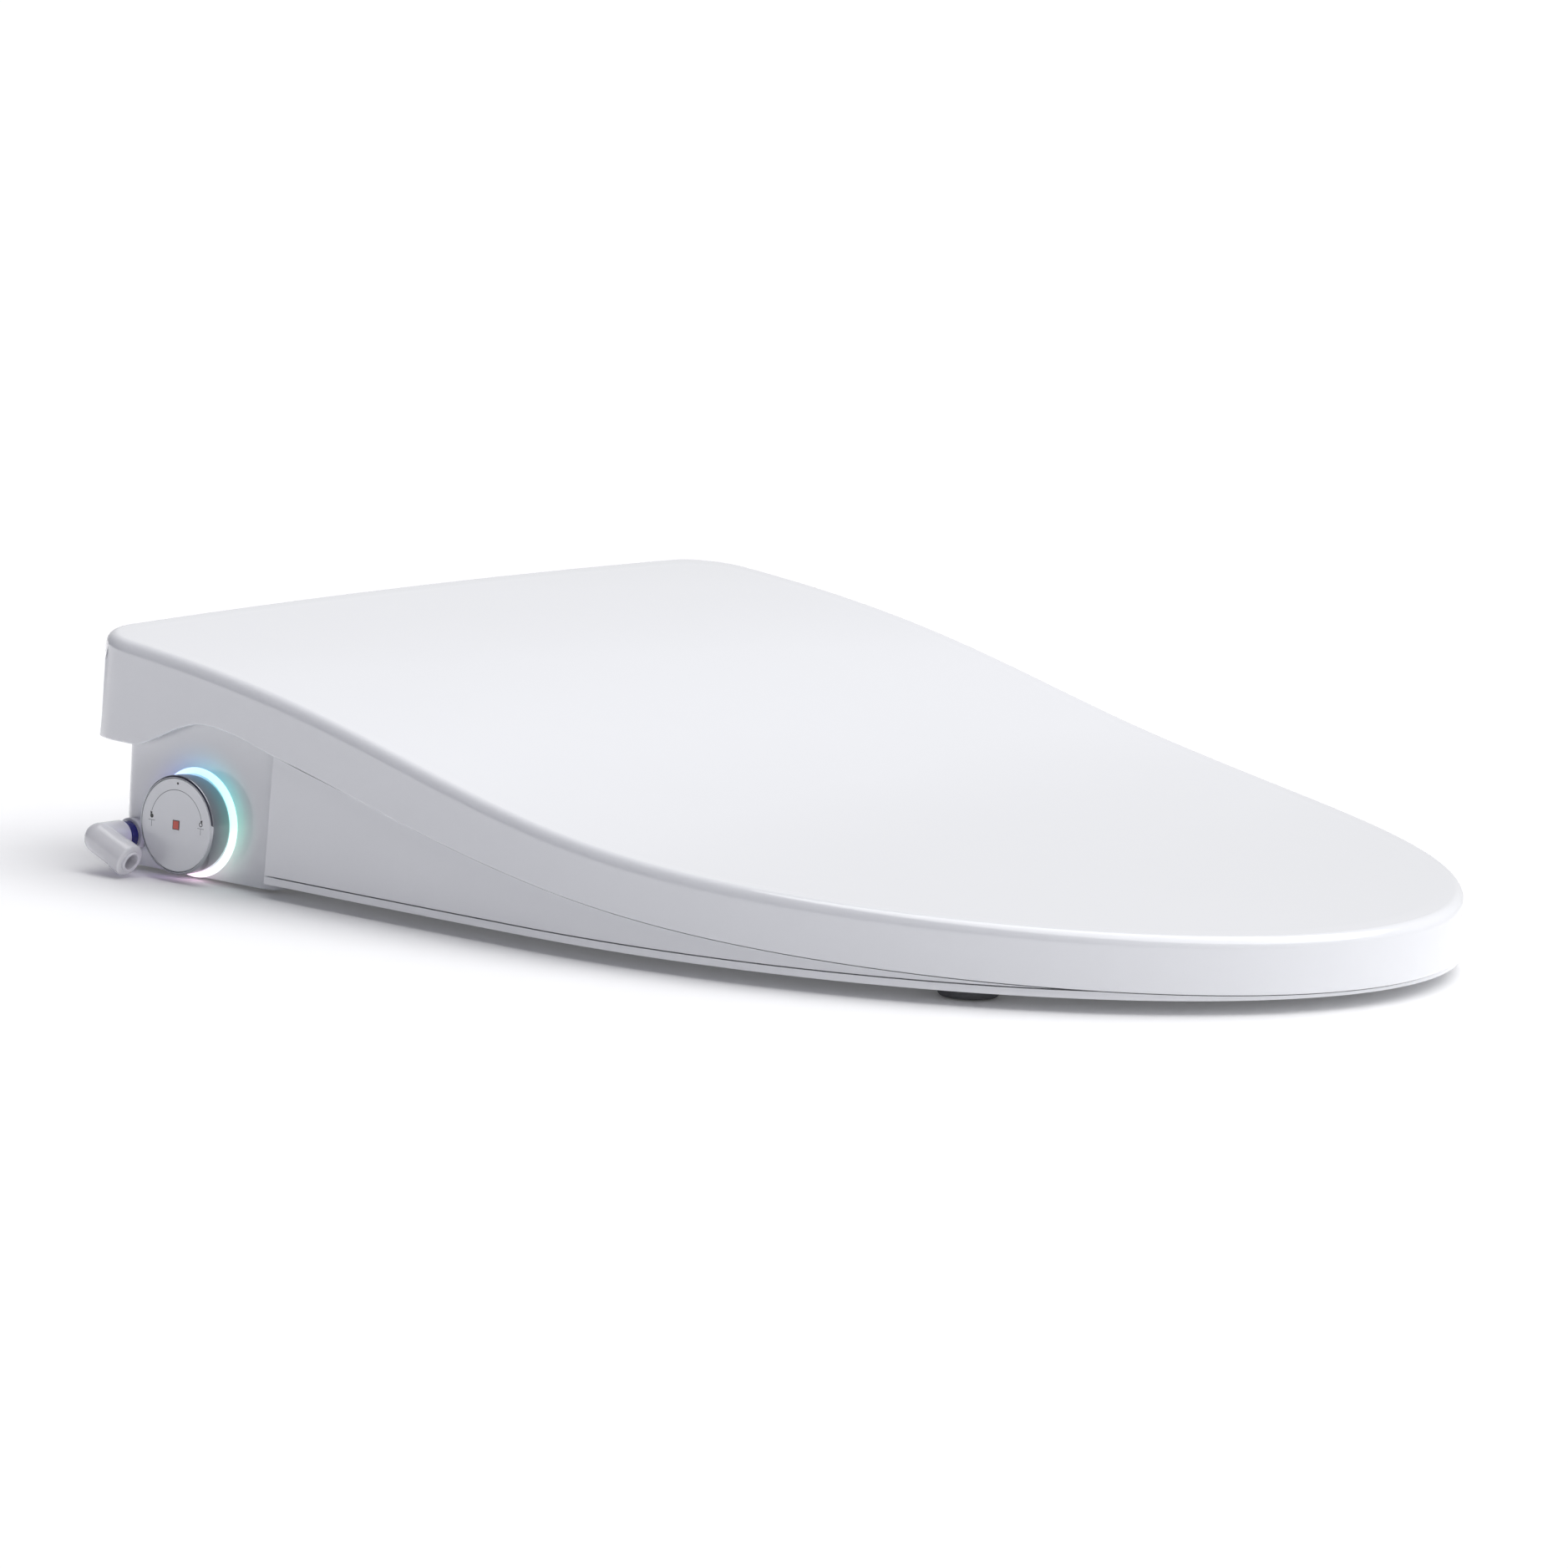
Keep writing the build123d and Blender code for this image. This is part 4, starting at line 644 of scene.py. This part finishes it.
def finish(slot):
    """The material of one of the record's slots, made the first time it is asked for."""
    if slot in MADE:
        return MADE[slot]
    colour = tuple(getattr(looks(), slot, SLOT_COLOURS[slot]))
    makers = {
        "gloss_white": lambda: polished(slot, colour),
        "satin_white": lambda: moulded(slot, colour, 0.45, 0.7, 0.01),
        "bracket_plastic": lambda: moulded(slot, colour, 0.5, 0.9, 0.015),
        "grey_rubber": lambda: rubber_finish(slot, colour),
        "chrome": lambda: chrome_finish(slot, colour),
        "knob_silver": lambda: dial_finish(slot, colour),
        "stop_red": lambda: stop_finish(slot, colour),
        "ring_glow": lambda: ring_finish(slot, colour),
        "inlet_white": lambda: moulded(slot, colour, 0.22, 3.0, 0.01, 0.05, Coat_Weight=0.3),
        "collet_white": lambda: moulded(slot, colour, 0.3, 0.8, 0.006, 0.05),
        "band_blue": lambda: moulded(slot, colour, 0.18, 2.0, 0.008, 0.25, Coat_Weight=0.5),
        "filter_mesh": lambda: mesh_finish(slot, colour),
        "steel": lambda: metal_finish(slot, colour),
        "motor_metal": lambda: metal_finish(slot, colour),
        "tank_plastic": lambda: moulded(slot, colour, 0.5, 1.2, 0.03, 0.12),
        "black_plastic": lambda: moulded(slot, colour, 0.42, 0.6, 0.015, 0.3),
        "gear_plastic": lambda: moulded(slot, colour, 0.35, 1.0, 0.008, 0.06),
        "nozzle_white": lambda: moulded(slot, colour, 0.15, 4.0, 0.008, 0.02, Coat_Weight=0.4),
        "hose_clear": lambda: translucent_finish(slot, colour, 0.35, 0.35),
        "board_green": lambda: board_finish(slot, colour),
        "foil": lambda: foil_finish(slot, colour),
        "heater_ceramic": lambda: moulded(slot, colour, 0.7, 0.9, 0.05, 0.15),
        "lens_clear": lambda: translucent_finish(slot, colour, 0.8, 0.15),
    }
    MADE[slot] = makers[slot]().material
    return MADE[slot]


def dress(nodes):
    """Gives CAD nodes the finish of their record slot."""
    for name in nodes:
        node = frame["nodes"][name]
        material = finish(NODE_SLOTS[name])
        node.data.materials.clear()
        node.data.materials.append(material)


# ------------------------------------------------------------------ properties
def length(name, description, default):
    """Length property given in millimetres."""
    return FloatProperty(name=name, description=description, default=default * MM, unit="LENGTH", precision=4)


def angle(name, description, degrees):
    """Angle property given in degrees."""
    return FloatProperty(name=name, description=description, default=radians(degrees), subtype="ANGLE")


def colour(name, description, slot_or_colour):
    """Colour property whose default comes from a record slot or is given."""
    value = SLOT_COLOURS[slot_or_colour] if isinstance(slot_or_colour, str) else slot_or_colour
    return FloatVectorProperty(
        name=name, description=description, default=tuple(value), subtype="COLOR", min=0.0, max=1.0
    )


class LidSizes(bpy.types.PropertyGroup):
    """Sizes of the lid's shell."""

    half_width: length("Half width", "Half the width that the skirt is measured out from", 184.7)
    nose_length: length("Nose length", "From the widest place to the front tip, taken alike", 265.8)
    crown: length("Crown", "How far the middle stands above the crease", 2.5)
    edge_radius: length("Edge radius", "Rounding between the top and the skirt", 4.5)
    wall: length("Wall", "Thickness of the shell", 2.6)
    lip_radius: length("Lip radius", "Rounding along the skirt's lower edge", 0.7)

    def millimetres(self):
        names = ("half_width", "nose_length", "crown", "edge_radius", "wall", "lip_radius")
        return {name: getattr(self, name) / MM for name in names}


class KnobSizes(bpy.types.PropertyGroup):
    """Sizes of the control knob."""

    radius: length("Radius", "Outer radius of the chrome shell", SHELL_RADIUS)
    face_radius: length("Face radius", "Radius of the pale dial", 18.3)
    bevel: length("Bevel", "Rounding between the shell's side and its front rim", 0.7)


class Looks(bpy.types.PropertyGroup):
    """Colours of the finishes, the light ring's own glow and the glow painted on the cheek."""

    gloss_white: colour("Gloss white", "Lid, seat and housing", (0.86, 0.87, 0.9))
    chrome: colour("Chrome", "Side of the knob", (0.42, 0.43, 0.46))
    knob_silver: colour("Dial", "Face of the knob", "knob_silver")
    stop_red: colour("Stop mark", "Inlay in the middle of the dial", "stop_red")
    band_blue: colour("Band", "Ring on the water inlet", (0.01, 0.012, 0.2))
    grey_rubber: colour("Rubber", "Bumpers and feet", (0.11, 0.11, 0.12))
    # Glow and glow reach set the glow painted on the cheek as emission, standing in for the ring's light
    # falling on it
    glow_strength: FloatProperty(name="Glow", description="Brightness of the light on the cheek", default=0.6)
    glow_reach: length("Glow reach", "How far the light spreads from the knob's base", 15.0)
    ring_strength: FloatProperty(name="Ring", description="Brightness of the light guide", default=1.5)


class Studio(bpy.types.PropertyGroup):
    """Camera and lights."""

    azimuth: angle("Azimuth", "Turn of the view", -48.25)
    elevation: angle("Elevation", "Height angle", 9.04)
    roll: angle("Roll", "Tilt of the camera", 2.73)
    distance: length("Distance", "From the aim to the camera", 12000.0)
    view_width: length("View width", "Width seen at the aim", 607.7)
    overhead: FloatProperty(name="Overhead", description="Strength of the soft light from above", default=2.2)
    surround: FloatProperty(name="Surround", description="Strength of the light all round", default=0.58)


# ------------------------------------------------------------------ operators
class BIDET_OT_lid(bpy.types.Operator):
    """Make the lid's shell as one smooth closed surface"""

    bl_idname = "bidet.lid"
    bl_label = "Lid"

    def execute(self, context):
        points = lid_surface(context.scene.bidet_lid.millimetres())
        vertices, faces = capped_grid(points)
        make_piece("lid_surface", vertices, faces, "lid", "gloss_white", ["lid_shell"])
        dress(["lid_hinge_arms", "lid_bumpers"])
        return {"FINISHED"}


class BIDET_OT_knob(bpy.types.Operator):
    """Turn the profiles of the knob's chrome shell and dial, and finish the light ring and stop mark"""

    bl_idname = "bidet.knob"
    bl_label = "Knob"

    def execute(self, context):
        sizes = context.scene.bidet_knob
        radius, face, bevel = sizes.radius / MM, sizes.face_radius / MM, sizes.bevel / MM
        ring = [
            (KNOB_FRONT - 0.35, face),
            (KNOB_FRONT - 0.02, face + 0.12),
            (KNOB_FRONT, radius - bevel),
            (KNOB_FRONT - bevel, radius),
            (KNOB_BACK + 0.4, radius),
            (KNOB_BACK, radius - 0.4),
            (KNOB_BACK, radius - 2),
            (KNOB_FRONT - 3, radius - 2),
            (KNOB_FRONT - 3, 3.05),
            (KNOB_FRONT - 1.3, 3.05),
            (KNOB_FRONT - 1.3, face),
            (KNOB_FRONT - 0.35, face),
        ]
        profile = rounded(ring, 0.25)[:-1]
        points = lathe(profile, KNOB_Y, KNOB_Z)
        faces = [grid_faces(len(points), points.shape[1], closed_rows=True)]
        make_piece("knob_rim", points.reshape(-1, 3), faces, "knob", "chrome", ["knob_shell"])
        disc = [(KNOB_FRONT - 1.25, 0), (KNOB_FRONT - 1.25, face - 0.05), (KNOB_FRONT - 0.3, face - 0.05)]
        disc += [(KNOB_FRONT - 0.12, face - 0.3), (KNOB_FRONT - 0.12, 0)]
        points = lathe(np.array(disc), KNOB_Y, KNOB_Z)
        vertices, faces = capped_grid(points)
        make_piece("knob_dial", vertices, faces, "knob", "knob_silver", ["knob_face"], 25)
        dress(["knob_stop_mark", "knob_spindle", "light_ring", "led_board", "knob_encoder"])
        return {"FINISHED"}


class BIDET_OT_mouldings(bpy.types.Operator):
    """Finish the housing, the seat and their covers"""

    bl_idname = "bidet.mouldings"
    bl_label = "Mouldings"

    def execute(self, context):
        dress(["seat_top", "seat_bottom", "seat_hinge_arms", "seat_bumpers", "seat_heater", "seat_sensor"])
        dress(["base_tray", "release_button", "filter_cartridge", "deodoriser_case", "housing_feet"])
        dress(["mount_bracket", "bolt_adjusters", "night_light_lens", "cover_screws"])
        dress(["cord_gland", "hinge_pins"])
        # The housing cover's finish also paints the ring's glow onto the cheek as emission
        cover = frame["nodes"]["housing_cover"]
        cover.data.materials.clear()
        cover.data.materials.append(housing_finish("housing_white", tuple(looks().gloss_white)).material)
        return {"FINISHED"}


class BIDET_OT_water(bpy.types.Operator):
    """Finish the water inlet, the elbow and the parts the water runs through"""

    bl_idname = "bidet.water"
    bl_label = "Water path"

    def execute(self, context):
        dress(["inlet_union", "inlet_band", "elbow_body", "elbow_collet", "inlet_filter", "solenoid_valve"])
        dress(["heater_tank", "inlet_hose", "outlet_hose", "diverter_valve"])
        for place in ("rear", "front"):
            dress([f"{place}_nozzle_tube", f"{place}_nozzle_tip", f"{place}_pinion"])
        dress(["nozzle_shroud", "nozzle_cradle", "nozzle_motors"])
        return {"FINISHED"}


class BIDET_OT_air(bpy.types.Operator):
    """Finish the dryer, the dampers and the electrical parts"""

    bl_idname = "bidet.air"
    bl_label = "Dryer and electrics"

    def execute(self, context):
        dress(["dryer_case", "dryer_impeller", "dryer_motor", "dryer_heater", "dryer_duct", "dryer_flap"])
        dress(["main_board", "power_module", "lid_damper", "seat_damper"])
        return {"FINISHED"}


class BIDET_OT_studio(bpy.types.Operator):
    """Lay the pale floor, hang the soft lights and aim the camera"""

    bl_idname = "bidet.studio"
    bl_label = "Studio"

    def execute(self, context):
        studio = context.scene.bidet_studio
        lay_floor()
        light_scene(studio)
        aim_camera(studio)
        return {"FINISHED"}


# Floor, in metres
FLOOR_GAP, FLOOR_REACH, FLOOR_MIDDLE_Y, FLOOR_CELLS = 0.0004, 9, 2, 24


def lay_floor():
    """Large flat sheet just under the lowest point, finished as pale matt paper."""
    low = CAD_BOX[0].z - FLOOR_GAP
    side = np.linspace(-FLOOR_REACH, FLOOR_REACH, FLOOR_CELLS + 1)
    x, y = np.meshgrid(side, side)
    points = np.stack([x, y + FLOOR_MIDDLE_Y, np.full_like(x, low)], -1).reshape(-1, 3)
    r, c = np.meshgrid(np.arange(FLOOR_CELLS), np.arange(FLOOR_CELLS), indexing="ij")
    row = FLOOR_CELLS + 1
    corner = (r * row + c).ravel()
    quads = np.stack([corner, corner + 1, corner + row + 1, corner + row], -1)
    mesh = bpy.data.meshes.new("studio_floor")
    mesh.from_pydata(points.tolist(), [], quads.tolist())
    floor = bpy.data.objects.new("studio_floor", mesh)
    bpy.context.scene.collection.objects.link(floor)
    paper = Finish("studio_paper", (0.93, 0.93, 0.935), 0.9, Emission_Strength=0.05)
    paper.shader.inputs["Emission Color"].default_value = (1.0, 1.0, 1.0, 1)
    paper.paint(paper.mix(paper.noise(40, 3), (0.915, 0.915, 0.92), (0.945, 0.945, 0.95)))
    paper.relief(paper.noise(0.9, 3), 0.01)
    floor.data.materials.append(paper.material)


OVERHEAD_PLACE, OVERHEAD_SPREAD = (0.9, -0.7, 3), 75


def add_light(name, kind, place, aim, energy, **settings):
    """Lamp at a place, turned towards an aim."""
    data = bpy.data.lights.new(name, kind)
    data.energy = energy
    for key, value in settings.items():
        setattr(data, key, value)
    lamp = bpy.data.objects.new(name, data)
    lamp.location = place
    lamp.rotation_euler = (Vector(aim) - Vector(place)).to_track_quat("-Z", "Y").to_euler()
    bpy.context.scene.collection.objects.link(lamp)
    return lamp


# The surround is dark on one side and bright on the other, by how far a direction turns to the bright side
BRIGHT_SIDE = Vector((0.9, -0.43, 0.1)).normalized()
SURROUND_TONES = ((0.3, (0.06, 0.06, 0.11)), (0.7, (1.25, 1.25, 1.27)))


def light_scene(studio):
    """A surround that goes from dark to bright across the seat, and one wide soft light from above."""
    world = bpy.data.worlds.new("studio_surround")
    world.use_nodes = True
    background = world.node_tree.nodes["Background"]
    tree = world.node_tree
    direction = tree.nodes.new("ShaderNodeTexCoord")
    facing = tree.nodes.new("ShaderNodeVectorMath")
    facing.operation = "DOT_PRODUCT"
    facing.inputs[1].default_value = BRIGHT_SIDE
    tones = tree.nodes.new("ShaderNodeValToRGB")
    for element, (place, tone) in zip(tones.color_ramp.elements, SURROUND_TONES):
        element.position, element.color = place, (*tone, 1)
    half = tree.nodes.new("ShaderNodeMath")
    half.operation = "MULTIPLY_ADD"
    half.inputs[1].default_value = half.inputs[2].default_value = 0.5
    tree.links.new(direction.outputs["Generated"], facing.inputs[0])
    tree.links.new(facing.outputs["Value"], half.inputs[0])
    tree.links.new(half.outputs[0], tones.inputs[0])
    tree.links.new(tones.outputs[0], background.inputs["Color"])
    background.inputs["Strength"].default_value = studio.surround
    bpy.context.scene.world = world
    bpy.context.scene.view_settings.view_transform = "Standard"
    spread = radians(OVERHEAD_SPREAD)
    add_light("overhead_light", "SUN", OVERHEAD_PLACE, (0, 0, 0), studio.overhead, angle=spread)


# Middle of the view, in millimetres: a point in the seat, and how far to its left and above it the view is
AIM, AIM_LEFT, AIM_UP = Vector((0, -203.7, 41.2)), 33.80, 7.79
SENSOR_WIDTH = 36


def view_axes(studio):
    """Right, up and forward directions of the camera, from its azimuth, elevation and roll."""
    turn, rise, roll = studio.azimuth, studio.elevation, studio.roll
    forward = Vector((-sin(turn) * cos(rise), cos(turn) * cos(rise), -sin(rise)))
    right = Vector((cos(turn), sin(turn), 0))
    up = right.cross(forward)
    return right * cos(roll) + up * sin(roll), up * cos(roll) - right * sin(roll), forward


def aim_camera(studio):
    """Long lens that frames the view width at the aim."""
    right, up, forward = view_axes(studio)
    aim = AIM * MM - right * AIM_LEFT * MM + up * AIM_UP * MM
    data = bpy.data.cameras.new("studio_camera")
    data.sensor_width = SENSOR_WIDTH
    data.lens = SENSOR_WIDTH * studio.distance / studio.view_width
    data.clip_end = 100
    camera = bpy.data.objects.new("studio_camera", data)
    turned = Matrix((right, up, -forward)).transposed().to_4x4()
    camera.matrix_world = Matrix.Translation(aim - forward * studio.distance) @ turned
    bpy.context.scene.collection.objects.link(camera)
    bpy.context.scene.camera = camera


class BIDET_PT_panel(bpy.types.Panel):
    """Sizes, colours and steps of the bidet seat"""

    bl_label = "Bidet seat"
    bl_space_type = "VIEW_3D"
    bl_region_type = "UI"
    bl_category = "Bidet seat"

    def draw(self, context):
        for group in ("bidet_lid", "bidet_knob", "bidet_looks", "bidet_studio"):
            box = self.layout.box()
            settings = getattr(context.scene, group)
            for name in settings.__annotations__:
                box.prop(settings, name)
        for step in STEPS:
            self.layout.operator(step.bl_idname)


GROUPS = {"bidet_lid": LidSizes, "bidet_knob": KnobSizes, "bidet_looks": Looks, "bidet_studio": Studio}
STEPS = (BIDET_OT_studio, BIDET_OT_mouldings, BIDET_OT_lid, BIDET_OT_knob, BIDET_OT_water, BIDET_OT_air)


def register():
    for group in GROUPS.values():
        bpy.utils.register_class(group)
    for name, group in GROUPS.items():
        setattr(bpy.types.Scene, name, PointerProperty(type=group))
    for step in (*STEPS, BIDET_PT_panel):
        bpy.utils.register_class(step)


def unregister():
    for step in (BIDET_PT_panel, *reversed(STEPS)):
        bpy.utils.unregister_class(step)
    for name, group in GROUPS.items():
        delattr(bpy.types.Scene, name)
        bpy.utils.unregister_class(group)


def main():
    """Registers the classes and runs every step."""
    register()
    for step in STEPS:
        family, action = step.bl_idname.split(".")
        getattr(getattr(bpy.ops, family), action)()


if __name__ == "__main__":
    main()
